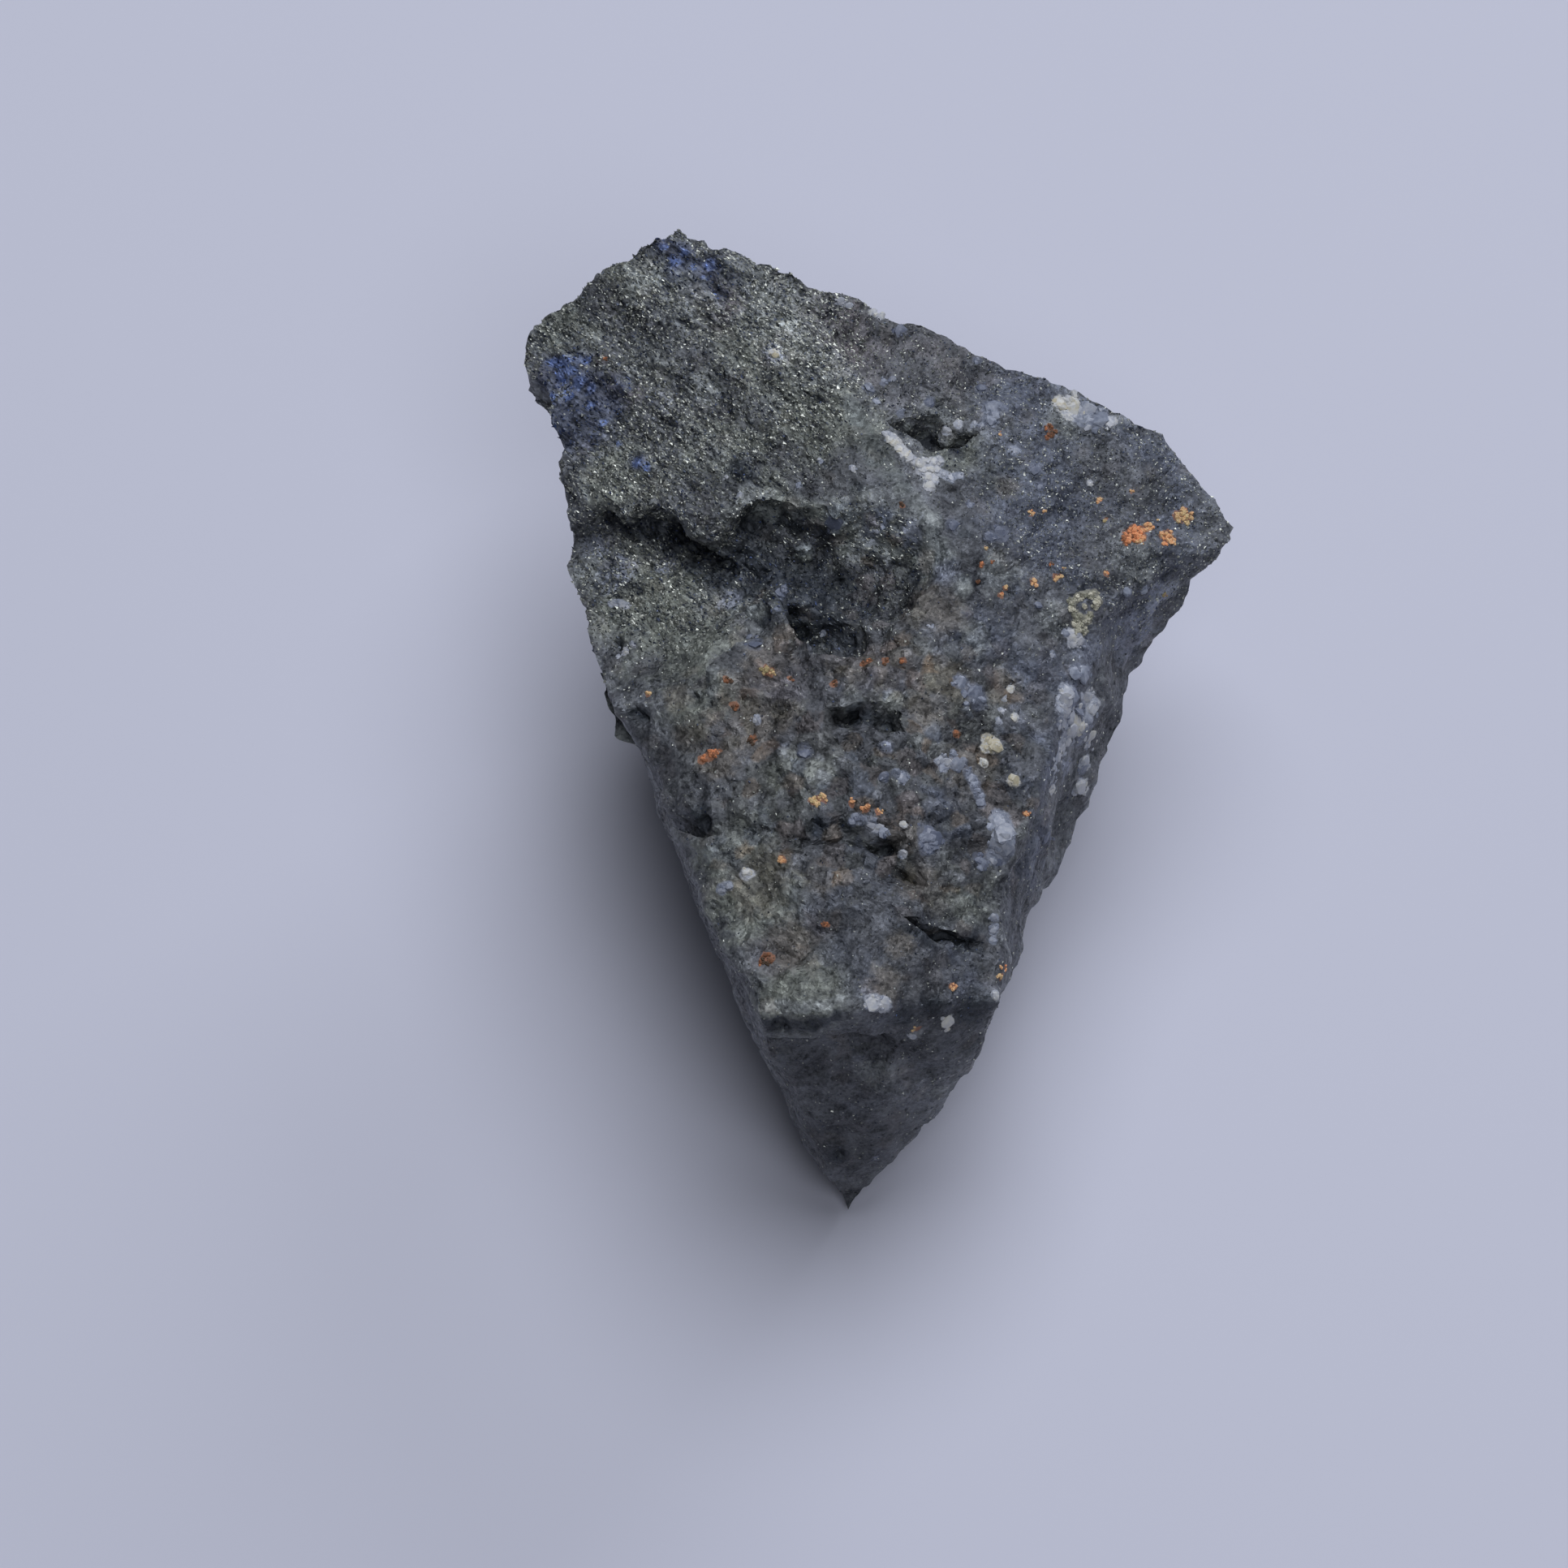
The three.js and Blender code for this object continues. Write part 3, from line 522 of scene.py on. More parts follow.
def blocks(place, size):
    """Rounded cells with sharp valleys between them."""
    nearest, second = noise.voronoi(place / (size * MM))[0][:2]
    return min(second - nearest, 0.6) - 0.25


def streaks(place, size):
    along = place.dot(STREAK) * STREAK
    return noise.fractal((place - along * DRAWN_OUT) / (size * MM), 0.8, 2.2, 3)


def warp(place, size):
    return noise.noise_vector(place / (size * MM))


def soft_step(low, high, value):
    share = np.clip((value - low) / (high - low), 0, 1)
    return share * share * (3 - 2 * share)


CLAST_TINTS = [
    (0.07, (1.45, 1.08, 0.70)), (0.15, (1.20, 0.98, 0.84)), (0.28, (0.93, 1.00, 1.12)),
    (0.60, (1.05, 1.05, 0.91)), (1.01, (1.0, 1.0, 1.0)),
]


def clast(place, size):
    """How far a clast stands out here, and what it does to the colour."""
    distances, middles = noise.voronoi(place / (size * MM))
    gap = distances[1] - distances[0]
    own = noise.cell_vector(middles[0] * 7.3)
    height = min(gap, 0.5) - 0.22 + (own.x - 0.5) * min(gap / 0.25, 1.0)
    tint = next(tint for limit, tint in CLAST_TINTS if own.y < limit)
    bright = math.exp((own.z - 0.5) * 1.1 * min(gap / 0.2, 1.0)) * min(0.8 + gap, 1.0)
    return height, [bright * part for part in tint]


print("one of each:", lumps(AIM, 1.0), blocks(AIM, 0.5), streaks(AIM, 0.3), clast(AIM, 0.7))

# %% [markdown]
# The chip didn't break in the same way everywhere. The upper plate is sugary with fresh crystals
# and drawn out into streaks, the right-hand side is fine-grained, the middle is rubbly, and the
# hollow is lumpy. Each such zone is given by where the camera sees the middle of a spot, the
# distance in millimetres up to which it is at its strongest, and the distance where it ends.

# %% Push the vertices about
ZONES = {
    "sugary": [(830, 430, 4.5, 7.0), (820, 700, 1.5, 4.0)],
    "grainy": [(1360, 610, 3.0, 5.5), (1170, 470, 2.5, 5.0)],
    "rubbly": [(1080, 940, 3.6, 7.0)],
    "hollow": [(1035, 715, 1.9, 3.4)],
    "smooth": [(1060, 1150, 1.0, 2.2), (985, 1220, 1.0, 1.8)],
}


def zone(spots):
    """1 within the inner distance of a spot, 0 beyond the outer one, for each vertex."""
    return np.maximum.reduce([soft_step(outer, inner, distances(place_of(across, down)[0]) / MM)
                              for across, down, inner, outer in spots])


sugary, grainy, rubbly, hollow, smooth = (zone(spots) for spots in ZONES.values())
rubbly = rubbly * (1 - 0.7 * smooth)
free_height = soft_step(0.02, 0.8, places[:, 2] / MM)
jitter = SEED.normal(0, 1, len(places))

warps = np.zeros((len(places), 3))
relief = np.zeros(len(places))
clast_colours = np.ones((len(places), 4))
for i, vertex in enumerate(chip_mesh.verts):
    place = vertex.co
    warps[i] = 0.11 * warp(place, 1.1) + 0.08 * warp(place, 0.45)
    bent = place + Vector(warps[i]) * MM
    height, tint = clast(bent, 0.5)
    share = 0.15 + 0.5 * max(rubbly[i], 0.8 * hollow[i])
    clast_colours[i, :3] = [1 + (part - 1) * share for part in tint]
    relief[i] = (
        (0.08 + 0.06 * rubbly[i]) * lumps(place, 1.3)
        + (0.02 + 0.08 * max(rubbly[i], 0.7 * hollow[i])) * height
        + (0.04 + 0.10 * hollow[i]) * blocks(bent, 0.75)
        + (0.03 + 0.06 * hollow[i]) * blocks(bent, 0.34)
        + 0.10 * sugary[i] * streaks(place, 1.5)
        + (0.015 + 0.06 * sugary[i]) * streaks(place, 0.22)
    )
push = relief + (0.007 + 0.010 * sugary + 0.004 * grainy) * jitter
push += 0.04 * soft_step(-0.1, 0.6, crust_field) + 0.03 * soft_step(-0.1, 0.6, quartz_field)
print("relief from", round(relief.min(), 3), "to", round(relief.max(), 3), "mm")

# %% [markdown]
# All pushes were worked out before any vertex moves, so each is measured on the still surface. The
# foot stays where it is, so the chip rests on the table as the solid does.

# %% Move them
directions = [v.normal.copy() for v in chip_mesh.verts]
for i, vertex in enumerate(chip_mesh.verts):
    vertex.co += directions[i] * (push[i] * free_height[i] * MM)
    vertex.co += Vector(warps[i]) * (free_height[i] * MM)
chip_mesh.normal_update()
surface = BVHTree.FromBMesh(chip_mesh)
chip_data = bpy.data.meshes.new("chip")
chip_mesh.to_mesh(chip_data)
chip = put_in_scene("chip", chip_data)
print("the furthest push is", round(max(abs(push)), 3), "mm")

# %% [markdown]
# The fields are kept on the mesh as attributes, where the materials can read them.

# %% Keep the marks on the mesh
def keep(mesh, name, values):
    attribute = mesh.attributes.new(name, "FLOAT", "POINT")
    attribute.data.foreach_set("value", np.asarray(values, dtype=np.float32))


fields = {**patch_fields, "rust": rust_field, "quartz": quartz_field, "crust": crust_field}
for kind, field in fields.items():
    keep(chip_data, kind, np.clip(field, -3, 1))
keep(chip_data, "quartz_tone", quartz_tone)
keep(chip_data, "relief", relief)
keep(chip_data, "sugary", sugary)
clast_layer = chip_data.attributes.new("clast", "FLOAT_COLOR", "POINT")
clast_layer.data.foreach_set("color", clast_colours.astype(np.float32).ravel())
print("chip:", len(chip_data.polygons), "faces and", len(chip_data.attributes), "attributes")

# %% [markdown]
# ## Materials
# A material is a chain of nodes. Short helpers keep the chains readable: one makes a node and fills
# its inputs with numbers or links, one mixes two colours, and one turns a field of marks into a
# ragged mask.

# %% Node helpers
class Recipe:
    """A material under construction."""

    def __init__(self, name):
        self.material = bpy.data.materials.new(name)
        self.material.use_nodes = True
        self.tree = self.material.node_tree
        self.shader = self.tree.nodes["Principled BSDF"]
        self.place = self.node("ShaderNodeTexCoord").outputs["Object"]

    def node(self, kind, inputs=(), **settings):
        made = self.tree.nodes.new(kind)
        for name, value in settings.items():
            setattr(made, name, value)
        for socket, value in dict(inputs).items():
            self.feed(made.inputs[socket], value)
        return made

    def feed(self, socket, value):
        if isinstance(value, bpy.types.NodeSocket):
            self.tree.links.new(value, socket)
        else:
            socket.default_value = value

    def finish(self, **sockets):
        for name, value in sockets.items():
            self.feed(self.shader.inputs[name.replace("_", " ")], value)
        return self.material

    def noise(self, size, detail=3.0, rough=0.55, place=None):
        """Soft noise with lumps of this size in millimetres, from 0 to 1."""
        made = self.node("ShaderNodeTexNoise", {"Vector": place or self.place, "Detail": detail,
                                                "Scale": 1 / (size * MM), "Roughness": rough})
        return made.outputs["Fac"]

    def cells(self, size):
        """One random colour for each grain of this size in millimetres."""
        settings = {"Vector": self.place, "Scale": 1 / (size * MM)}
        return self.node("ShaderNodeTexVoronoi", settings).outputs["Color"]

    def kept(self, name, output="Fac"):
        return self.node("ShaderNodeAttribute", attribute_name=name).outputs[output]

    def maths(self, operation, one, other=0.0, clamp=False):
        made = self.node("ShaderNodeMath", operation=operation, use_clamp=clamp)
        self.feed(made.inputs[0], one)
        self.feed(made.inputs[1], other)
        return made.outputs[0]

    def vector(self, operation, one, other=None):
        """Maths with vectors; to scale, the other value is a number."""
        made = self.node("ShaderNodeVectorMath", {0: one}, operation=operation)
        if other is not None:
            self.feed(made.inputs["Scale" if operation == "SCALE" else 1], other)
        return made.outputs["Value" if operation == "DOT_PRODUCT" else "Vector"]

    def ramp(self, value, low, high, to_low=0.0, to_high=1.0):
        """Goes smoothly from to_low to to_high while the value goes from low to high."""
        return self.node("ShaderNodeMapRange", {"Value": value, "From Min": low, "From Max": high,
                                                "To Min": to_low, "To Max": to_high},
                         interpolation_type="SMOOTHSTEP").outputs["Result"]

    def swing(self, value, width):
        """Turns a value from 0 to 1 into one that swings this wide about zero."""
        return self.maths("MULTIPLY", self.maths("SUBTRACT", value, 0.5), width)

    def mark(self, kind, edge, raggedness, low=-0.12, high=0.12):
        """A mask from a field of the chip, with an edge torn by noise."""
        torn = self.swing(edge, raggedness)
        return self.ramp(self.maths("ADD", self.kept(kind), torn), low, high)

    def mix(self, share, one, other, how="MIX"):
        made = self.node("ShaderNodeMix", data_type="RGBA", blend_type=how)
        for socket, value in ((0, share), (6, one), (7, other)):
            self.feed(made.inputs[socket], value)
        return made.outputs[2]

    def lay(self, share, strength, under, over):
        """Lays one colour over another where the mask says, at this strength."""
        return self.mix(self.maths("MULTIPLY", share, strength), under, over)

    def steps(self, value, stops):
        """A colour ramp through these places and colours."""
        ramp = self.node("ShaderNodeValToRGB", {"Fac": value})
        for place, shade in stops[:2]:
            stop = ramp.color_ramp.elements[0 if place == stops[0][0] else 1]
            stop.position, stop.color = place, shade
        for place, shade in stops[2:]:
            ramp.color_ramp.elements.new(place).color = shade
        return ramp.outputs["Color"]


def colour(red, green, blue):
    """A colour as it looks on a screen, from 0 to 255, for a socket that takes linear light."""
    return (*((c / 255) ** 2.2 for c in (red, green, blue)), 1.0)


print("mid grey is", colour(128, 128, 128)[0])

# %% [markdown]
# ## The ore
# Fine-grained arsenopyrite is a dark grey sulphide with a dull metallic lustre. Its tone follows
# the relief: paler on the crests and darker in the hollows. On the sugary plate it is drawn out
# along the streaks as well. Each tint of the ore has a dark and a pale colour and uses the same
# tone, and the patches choose between the tints. The colour of each clast multiplies the result.

# %% Tone of the ore
ore = Recipe("ore")
grit = ore.noise(0.11, 3.0, 0.7)
cloud = ore.noise(1.1, 5.0, 0.62)
torn_edge = ore.noise(0.3, 4.0, 0.65)
ragged = ore.maths("MULTIPLY", ore.maths("ADD", cloud, torn_edge), 0.5)
mottle = ore.noise(0.55, 3.0, 0.6)
along = ore.vector("SCALE", STREAK, ore.vector("DOT_PRODUCT", ore.place, STREAK))
drawn_out = ore.vector("SUBTRACT", ore.place, ore.vector("SCALE", along, DRAWN_OUT))
streaky = ore.noise(0.15, 3.0, 0.6, drawn_out)
relief_tone = ore.ramp(ore.kept("relief"), -0.16, 0.14, -0.5, 0.5)
grit_tone = ore.swing(grit, ore.ramp(ore.kept("sugary"), 0.0, 1.0, 1.2, 1.1))
streak_tone = ore.swing(streaky, ore.ramp(ore.kept("sugary"), 0.0, 1.0, 0.3, 2.2))
tone = ore.maths("ADD", 0.42, ore.maths("ADD", grit_tone, streak_tone))
tone = ore.maths("ADD", tone, ore.maths("MULTIPLY", relief_tone, 0.4))
tone = ore.maths("ADD", tone, ore.ramp(mottle, 0.35, 0.65, -0.09, 0.09))
tone = ore.maths("ADD", tone, ore.ramp(cloud, 0.3, 0.7, -0.14, 0.14), clamp=True)

base = ore.mix(tone, colour(36, 38, 42), colour(140, 143, 147))
# The shaded tint is painted shade and the lit one painted light; dim is in part painted shade, and
# worn and pale are in part painted light.
tints = {
    "olive": (colour(37, 40, 43), colour(150, 154, 142), 0.9),
    "slate": (colour(29, 34, 44), colour(116, 122, 137), 0.9),
    "brown": (colour(38, 37, 41), colour(133, 127, 130), 0.8),
    "dim_and_painted_shade": (colour(25, 27, 31), colour(110, 112, 116), 0.9),
    "tarnish": (colour(30, 33, 42), colour(108, 114, 132), 0.9),
    "blue": (colour(46, 58, 92), colour(136, 158, 212), 0.75),
    "khaki": (colour(66, 70, 70), colour(122, 127, 124), 0.75),
    "shaded": (colour(22, 26, 32), colour(72, 77, 83), 0.92),
    "lit": (colour(46, 50, 55), colour(176, 180, 178), 0.75),
    "rusty": (colour(44, 40, 34), colour(142, 131, 113), 0.45),
    "wear_and_painted_light": (colour(74, 80, 84), colour(206, 211, 206), 0.8),
    "pale": (colour(58, 63, 74), colour(182, 188, 204), 0.8),
    "milky": (colour(82, 90, 108), colour(160, 167, 184), 0.75),
}
for kind, (dark, pale, strength) in tints.items():
    patch = ore.mark(kind, torn_edge if kind == "blue" else ragged, 2.6, -0.4, 0.5)
    base = ore.lay(patch, strength, base, ore.mix(tone, dark, pale))
base = ore.mix(1.0, base, ore.kept("clast", "Color"), "MULTIPLY")
print("tints:", ", ".join(tints))

# %% [markdown]
# Rust, crust and quartz also soak into the ore around their grains, as an iron stain or a milky
# film. The film has the tone of its quartz, so a vein reads as one pale mass.

# %% Stains round the grains
QUARTZ_SHADES = [
    (0.0, colour(98, 104, 120)), (1.0, colour(188, 178, 148)), (0.3, colour(140, 146, 159)),
    (0.6, colour(178, 180, 185)), (0.85, colour(204, 202, 193)),
]
crust = ore.mark("crust", torn_edge, 1.6)
rust = ore.mark("rust", torn_edge, 2.0)
quartz = ore.mark("quartz", torn_edge, 1.4, -0.4, 0.05)
film_tone = ore.maths("ADD", ore.kept("quartz_tone"), ore.ramp(grit, 0.2, 0.8, -0.45, -0.05))
quartz_film = ore.steps(film_tone, QUARTZ_SHADES)
base = ore.lay(crust, 0.8, base, ore.mix(grit, colour(92, 92, 82), colour(176, 172, 154)))
base = ore.lay(rust, 0.7, base, ore.mix(grit, colour(84, 62, 48), colour(190, 124, 84)))
base = ore.lay(quartz, ore.ramp(ore.kept("quartz_tone"), 0.0, 0.8, 0.45, 0.9), base, quartz_film)
print("stains laid over the ore")

# %% [markdown]
# Each grain of the sulphide has its own gloss and its own tilt, which is why the rock glitters when
# it is turned. Small cells of noise give each grain both. Rust, crust and quartz aren't metal.

# %% Gloss and grain of the ore
GRAIN = 0.11
TILT = 0.35
grain_colour = ore.cells(GRAIN)
grain_gloss = ore.node("ShaderNodeSeparateColor", {"Color": grain_colour}).outputs["Green"]
earthy = ore.maths("MAXIMUM", ore.maths("MAXIMUM", rust, crust), quartz)
metal = ore.maths("MULTIPLY", ore.maths("SUBTRACT", 1.0, earthy),
                  ore.ramp(grain_gloss, 0.3, 0.9, 0.1, 0.6))
gloss = ore.maths("MAXIMUM", ore.ramp(grain_gloss, 0.0, 1.0, 0.7, 0.42),
                  ore.maths("MULTIPLY", earthy, 0.75))
tilt = ore.vector("SCALE", ore.vector("SUBTRACT", grain_colour, (0.5, 0.5, 0.5)), TILT)
facing = ore.node("ShaderNodeNewGeometry").outputs["Normal"]
tilted = ore.vector("NORMALIZE", ore.vector("ADD", facing, tilt))
bump = ore.node("ShaderNodeBump", {"Strength": 0.6, "Distance": 0.05 * MM, "Height": grit,
                                   "Normal": tilted})
chip_data.materials.append(ore.finish(Base_Color=base, Metallic=metal, Roughness=gloss,
                                      Normal=bump.outputs[0]))
print("ore has", len(ore.tree.nodes), "nodes")

# %% [markdown]
# ## Loose grains
# Crystals, quartz and rust stand on the chip as real little shapes, so they catch the light and
# cast shadows. Each kind is one piece: many shapes joined into one mesh. A heap takes a copy of a
# ready shape, places it and notes its tone. It is built in batches, because adding to a big mesh
# takes longer and longer.

# %% A heap of small shapes
class Heap:
    """Many small shapes that end up as one piece."""

    BATCH = 400

    def __init__(self):
        self.loose = bmesh.new()
        self.batches = []
        self.count = 0

    def drop(self, shape, place, tone):
        copy = shape.copy()
        copy.transform(place)
        tones = copy.attributes["tone"].data
        tones.foreach_set("value", np.full(len(tones), tone, dtype=np.float32))
        self.loose.from_mesh(copy)
        bpy.data.meshes.remove(copy)
        self.count += 1
        if self.count % self.BATCH == 0:
            self.pack_batch()

    def pack_batch(self):
        """Sets the full mesh aside, since a small one takes a new shape far faster."""
        batch = bpy.data.meshes.new("batch")
        self.loose.to_mesh(batch)
        self.loose.clear()
        self.batches.append(batch)

    def finish(self, name, material):
        self.pack_batch()
        for batch in self.batches:
            self.loose.from_mesh(batch)
            bpy.data.meshes.remove(batch)
        data = bpy.data.meshes.new(name)
        self.loose.to_mesh(data)
        data.materials.append(material)
        piece = put_in_scene(name, data)
        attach(piece, "root")
        print(name, "holds", self.count, "grains and", len(data.polygons), "faces")


def stand(place, facing, size, along, lean):
    """A matrix that stands a shape on a surface: place, the way it faces, size, long direction."""
    up = (Vector(facing) + Vector(SEED.normal(0, lean, 3))).normalized()
    along = Vector(SEED.normal(0, 1, 3)) if along is None else Vector(along)
    side = up.cross(along).normalized()
    turn = Matrix((side.cross(up), side, up)).transposed().to_4x4()
    return Matrix.Translation(place) @ turn @ Matrix.Diagonal((*size, 1.0))


print("heaps grow in batches of", Heap.BATCH)

# %% [markdown]
# A few ready shapes of radius 1 are enough, since each copy has its own size and turn: stubby
# crystals, broken bits of quartz and dented crumbs of rust.

# %% Ready shapes
DENTS = 0.7


def as_shape(made):
    shape = bpy.data.meshes.new("shape")
    made.to_mesh(shape)
    made.free()
    shape.attributes.new("tone", "FLOAT", "POINT")
    return shape


def crumb_shape():
    """A ball with random dents."""
    made = bmesh.new()
    bmesh.ops.create_icosphere(made, subdivisions=2, radius=1.0)
    offset = Vector(SEED.uniform(-50, 50, 3))
    for vertex in made.verts:
        vertex.co *= 1 + DENTS * noise.noise(vertex.co * 1.4 + offset)
    return as_shape(made)


def broken_shape():
    """A broken bit with flat faces: the hull round points that are thrown off a ball."""
    made = bmesh.new()
    bmesh.ops.create_icosphere(made, subdivisions=2, radius=1.0)
    bmesh.ops.delete(made, geom=list(made.edges) + list(made.faces), context="EDGES_FACES")
    for vertex in made.verts:
        vertex.co *= SEED.uniform(0.65, 1.2)
    bmesh.ops.convex_hull(made, input=made.verts)
    bmesh.ops.delete(made, geom=[v for v in made.verts if not v.link_faces], context="VERTS")
    return as_shape(made)


def crystal_shape():
    """A stubby prism of eight uneven faces, long along its own X."""
    made = bmesh.new()
    bmesh.ops.create_uvsphere(made, u_segments=4, v_segments=2, radius=1.0)
    for vertex in made.verts:
        vertex.co *= SEED.uniform(0.75, 1.25)
        vertex.co += Vector(SEED.normal(0, 0.12, 3))
    return as_shape(made)


crystal_shapes = [crystal_shape() for _ in range(24)]
quartz_shapes = [broken_shape() for _ in range(12)]
crumb_shapes = [crumb_shape() for _ in range(8)]
print("ready:", len(crystal_shapes), "crystals,", len(quartz_shapes), "bits of quartz and",
      len(crumb_shapes), "crumbs")

# %% [markdown]
# ### Sulphide crystals
# The fresh plates of the chip sparkle like sugar. Each sparkle is the face of a crystal about a
# tenth of a millimetre across. They are strewn at random over the chip's faces, thickly on the
# fresh plates and thinly elsewhere, and sunk by nearly half. On ground with painted shade they are
# fewer and darker, which is painted shade as well.

# %% Strew the crystals
CRYSTALS = 21000
SUNK = 0.45
LONG_CRYSTAL = (0.075, 0.038, 0.04)
STUBBY_CRYSTAL = (0.052, 0.038, 0.036)

corner_index = np.empty(len(chip_data.loops), dtype=np.int64)
chip_data.loops.foreach_get("vertex_index", corner_index)
corner_index = corner_index.reshape(-1, 3)
moved_places = np.empty(len(chip_data.vertices) * 3)
chip_data.vertices.foreach_get("co", moved_places)
moved_places = moved_places.reshape(-1, 3)
corners = moved_places[corner_index]
crossed = np.cross(corners[:, 1] - corners[:, 0], corners[:, 2] - corners[:, 0])
areas = np.linalg.norm(crossed, axis=1) / 2
facings = crossed / (2 * areas[:, None] + 1e-20)


def strew(heap, density, size, along):
    """Drops shapes at random on the chip's faces, more of them where the density is higher."""
    weight = areas * density[corner_index].mean(axis=1)
    picked = SEED.choice(len(areas), CRYSTALS, p=weight / weight.sum())
    for face in picked:
        shares = SEED.dirichlet((1, 1, 1))
        place = Vector(shares @ corners[face])
        big = SEED.uniform(0.6, 1.3)
        scale = [side * MM * big * SEED.uniform(0.8, 1.25) for side in size]
        place -= Vector(facings[face]) * scale[2] * SUNK
        way = None if along is None else Vector(along) + Vector(SEED.normal(0, 0.3, 3))
        shape = crystal_shapes[SEED.integers(len(crystal_shapes))]
        # Crystals on shaded and dim ground get a lower tone, as painted shade, beside the real
        # tarnish.
        tone_drop = tarnish_and_painted_shade[corner_index[face]].mean() * SEED.choice((0.2, 0.9, 0.9))
        tone_drop = 1.0 if blued[corner_index[face]].mean() > SEED.uniform(0.4, 2.0) else tone_drop
        tone = SEED.uniform(0.1, 1.0) * (1 - tone_drop)
        heap.drop(shape, stand(place, facings[face], scale, way, 0.3), tone)


off_the_table = soft_step(0.4, 1.0, places[:, 2] / MM)
tarnished = soft_step(-0.3, 0.3, patch_fields["tarnish"])
blued = soft_step(-0.4, 0.4, patch_fields["blue"])
covered = np.maximum(soft_step(-0.3, 0.2, quartz_field), soft_step(-0.3, 0.3, crust_field))
covered = np.maximum(covered, 0.8 * soft_step(-0.2, 0.4, patch_fields["khaki"]))
# Tarnish is real; the shaded and dim parts of this mask are painted shade.
tarnish_and_painted_shade = np.maximum(tarnished, 0.8 * soft_step(-0.3, 0.4, patch_fields["shaded"]))
tarnish_and_painted_shade = np.maximum(tarnish_and_painted_shade, 0.35 * soft_step(-0.4, 0.5, patch_fields["dim_and_painted_shade"]))
bare = off_the_table * (1 - covered)
upward = soft_step(0.1, 0.45, normals @ np.array(to_camera))
plate_crystals = Heap()
strew(plate_crystals, np.maximum(sugary, 0.4 * hollow) * bare * upward * (1 - 0.7 * tarnish_and_painted_shade),
      LONG_CRYSTAL, STREAK)
other_crystals = Heap()
strew(other_crystals, (0.5 - 0.45 * sugary + 0.8 * hollow + 3.0 * grainy) * bare,
      STUBBY_CRYSTAL, None)
print(plate_crystals.count + other_crystals.count, "crystals")

# %% [markdown]
# A clean crystal face is a bright, slightly warm grey metal. On tarnished ground it has a thin
# blue-black skin, so the low end of the tone is blue. Crystals on ground with painted shade are
# darkened towards that end as painted shade.

# %% Crystal material
sparkle = Recipe("bright sulphide")
bright = sparkle.steps(sparkle.kept("tone"), [
    (0.0, colour(104, 124, 176)), (1.0, colour(204, 205, 192)), (0.05, colour(46, 54, 78)),
    (0.2, colour(74, 79, 87)), (0.35, colour(98, 101, 98)),
])
crystal_finish = sparkle.finish(
    Base_Color=bright, Metallic=0.75,
    Roughness=sparkle.ramp(sparkle.noise(0.05), 0.3, 0.7, 0.34, 0.52))
plate_crystals.finish("plate_crystals", crystal_finish)
other_crystals.finish("sprinkled_crystals", crystal_finish)

# %% [markdown]
# ### Quartz
# The quartz is milky to glassy, from smoky blue grey to white. A smoky grain lies nearly flush with
# the ore and a white one stands a little proud. Each is a broken bit with flat faces, with smaller
# chips round it, so that a row of them runs together into one mass. It lies along the rock's
# average slope, since a single small face may be far steeper.

# %% Set the quartz
quartz_heap = Heap()
chip_count = 0


def mean_facing(across, down, reach):
    """The way the rock faces on average under something this wide."""
    total = Vector()
    for right, below in ((0, 0), (1, 0), (-1, 0), (0, 1), (0, -1)):
        total += place_of(across + right * reach, down + below * reach)[1] or Vector()
    return total.normalized()


def set_quartz(across, down, radius, tone_value, proud):
    """Sinks one broken piece of quartz into the rock, standing out by a share of its radius."""
    middle = place_of(across, down)[0]
    if middle is None:
        return
    facing = mean_facing(across, down, radius * 0.8)
    reach = radius * MM / UNITS_PER_MM
    size = [reach * SEED.uniform(0.8, 1.2), reach * SEED.uniform(0.8, 1.2), reach * proud]
    sunk = middle - facing * size[2] * 0.5
    shape = quartz_shapes[SEED.integers(len(quartz_shapes))]
    quartz_heap.drop(shape, stand(sunk, facing, size, None, 0.2), tone_value)


for across, down, radius, hundredths in QUARTZ:
    tone_value = hundredths / 100
    set_quartz(across, down, radius, tone_value, 0.25 + 0.15 * tone_value)
    for _ in range(min(2 + radius // 2, 6)):
        angle, away = SEED.uniform(0, 2 * math.pi), radius * SEED.uniform(0.4, 1.15)
        set_quartz(across + away * math.cos(angle), down + away * math.sin(angle),
                   radius * SEED.uniform(0.2, 0.55), tone_value + SEED.normal(-0.08, 0.12), 0.6)
        chip_count += 1
print("quartz:", quartz_heap.count - chip_count, "grains and", chip_count, "small chips")

# %% [markdown]
# Milky quartz lets a little light in and scatters it, so it looks soft. The noise only ever darkens
# a grain, as a thin spot in the milkiness would.

# %% Quartz material
milky = Recipe("milky quartz")
thin_spots = milky.ramp(milky.noise(0.15, 4.0), 0.3, 0.7, -0.22, 0.0)
milky_tone = milky.maths("ADD", milky.kept("tone"), thin_spots)
milky_bump = milky.node("ShaderNodeBump", {"Strength": 0.4, "Distance": 0.03 * MM,
                                           "Height": milky.noise(0.09, 3.0)})
quartz_heap.finish("quartz_grains", milky.finish(
    Base_Color=milky.steps(milky_tone, QUARTZ_SHADES),
    Roughness=milky.ramp(milky.noise(0.12), 0.3, 0.7, 0.3, 0.6),
    IOR=1.54, Transmission_Weight=0.12, Normal=milky_bump.outputs[0]))

# %% [markdown]
# ### Rust and crust
# Where iron weathers out of the ore it leaves earthy rust, orange where it is thick and brown where
# it is thin. The khaki crust is of the same kind. Both are made as small piles of crumbs.

# %% Pile up the rust
rust_heap = Heap()
crust_heap = Heap()


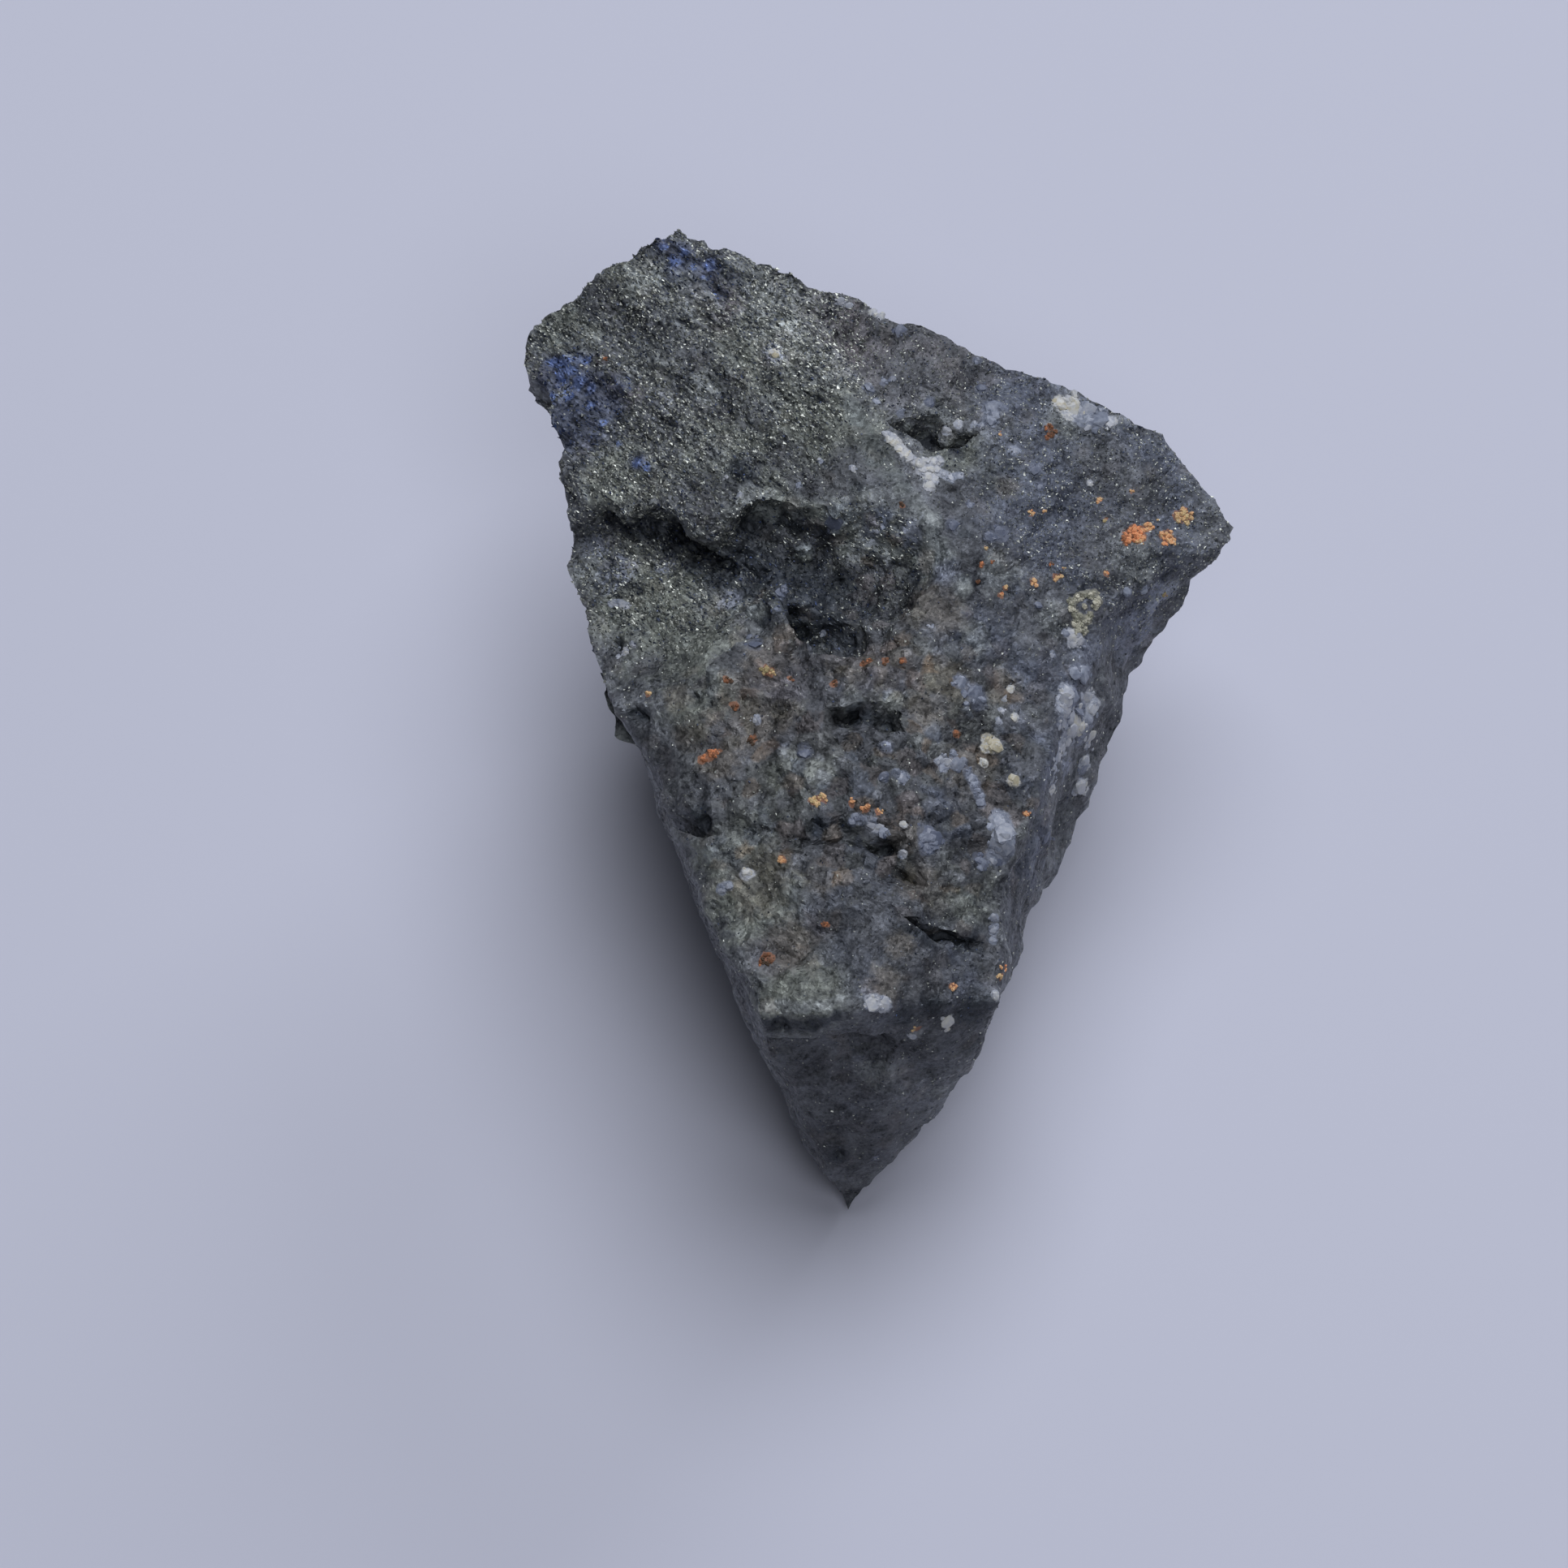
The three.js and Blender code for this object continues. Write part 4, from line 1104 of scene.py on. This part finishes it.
def pile(heap, across, down, radius, tone_value, count):
    for _ in range(count):
        angle = SEED.uniform(0, 2 * math.pi)
        away = radius * math.sqrt(SEED.uniform(0, 1)) * 0.9
        middle, facing = place_of(across + away * math.cos(angle),
                                  down + away * math.sin(angle) * 0.9)
        if middle is None:
            continue
        reach = SEED.uniform(1.1, 1.7 + 0.22 * radius) * MM / UNITS_PER_MM
        size = [reach * SEED.uniform(0.8, 1.2), reach * SEED.uniform(0.8, 1.2), reach * 0.75]
        shape = crumb_shapes[SEED.integers(len(crumb_shapes))]
        way = stand(middle, facing, size, None, 0.3)
        heap.drop(shape, way, tone_value + SEED.normal(0, 0.08))


for across, down, radius, hundredths in RUST:
    paler = 0.15 if radius < 5 and hundredths > 25 else 0.0
    pile(rust_heap, across, down, radius, hundredths / 100 + paler, round(1 + radius * radius / 5))
for across, down, radius in CRUST:
    pile(crust_heap, across, down, radius, SEED.uniform(0.35, 0.65), 9)
print("piles of rust and crust:", rust_heap.count, crust_heap.count)

# %% [markdown]
# Rust and crust are earths: rough, matt and not at all metallic.

# %% Rust material
ochre = Recipe("rust")
ochre_colour = ochre.steps(ochre.kept("tone"), [
    (0.0, colour(80, 64, 50)), (1.0, colour(158, 144, 104)), (0.15, colour(130, 86, 60)),
    (0.3, colour(222, 142, 96)), (0.6, colour(218, 174, 126)), (0.8, colour(208, 180, 132)),
])
rust_heap.finish("rust_crumbs", ochre.finish(Base_Color=ochre_colour, Roughness=0.85))
khaki = Recipe("khaki crust")
khaki_colour = khaki.mix(khaki.ramp(khaki.kept("tone"), 0.3, 0.7), colour(126, 125, 108),
                         colour(204, 199, 178))
crust_heap.finish("khaki_crust", khaki.finish(Base_Color=khaki_colour, Roughness=0.8))

# %% [markdown]
# ## The table and the light
# The chip rests on plain, pale, slightly lilac paper. A wide soft light hangs above and behind it,
# with a weaker one in front and a low one at the back. That leaves the front of the chip dark, and
# a soft shadow under its left edge and its tip.

# %% Table
LILAC_WHITE = (0.617, 0.619, 0.693, 1.0)
TABLE_REACH = 0.6
table_mesh = bmesh.new()
bmesh.ops.create_grid(table_mesh, x_segments=2, y_segments=2, size=TABLE_REACH)
table_data = bpy.data.meshes.new("table")
table_mesh.to_mesh(table_data)
table = put_in_scene("table", table_data)
paper = Recipe("paper")
table_data.materials.append(paper.finish(Base_Color=LILAC_WHITE, Roughness=0.9))
print("the table reaches", TABLE_REACH, "m each way")

# %% [markdown]
# Each lamp is a wide disc more than half a metre away, so no shadow has a hard edge.

# %% Light
LIGHT_DISTANCE = 0.6
COOL = (0.861, 0.898, 1.0)
SKY_BLUE = (0.8, 0.87, 1.0, 1.0)
SKY_STRENGTH = 0.03


def soft_light(name, azimuth, elevation, size, power):
    lamp = bpy.data.lights.new(name, "AREA")
    lamp.shape = "DISK"
    lamp.size = size
    lamp.energy = power
    lamp.color = COOL
    azimuth, elevation = math.radians(azimuth), math.radians(elevation)
    way = Vector((math.cos(azimuth) * math.cos(elevation),
                  math.sin(azimuth) * math.cos(elevation), math.sin(elevation)))
    held = put_in_scene(name, lamp)
    held.location = way * LIGHT_DISTANCE
    held.rotation_euler = way.to_track_quat("Z", "Y").to_euler()


soft_light("overhead", azimuth=75, elevation=68, size=0.5, power=2.54)
soft_light("front", azimuth=288, elevation=60, size=0.32, power=0.76)
soft_light("back", azimuth=60, elevation=20, size=0.32, power=1.3)
world = bpy.data.worlds.new("sky")
bpy.context.scene.world = world
world.use_nodes = True
background = world.node_tree.nodes["Background"].inputs
background["Color"].default_value = SKY_BLUE
background["Strength"].default_value = SKY_STRENGTH
bpy.context.scene.view_settings.view_transform = "Standard"
print("three soft lights")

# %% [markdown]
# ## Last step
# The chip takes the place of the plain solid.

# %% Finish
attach(chip, "root")
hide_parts("specimen")
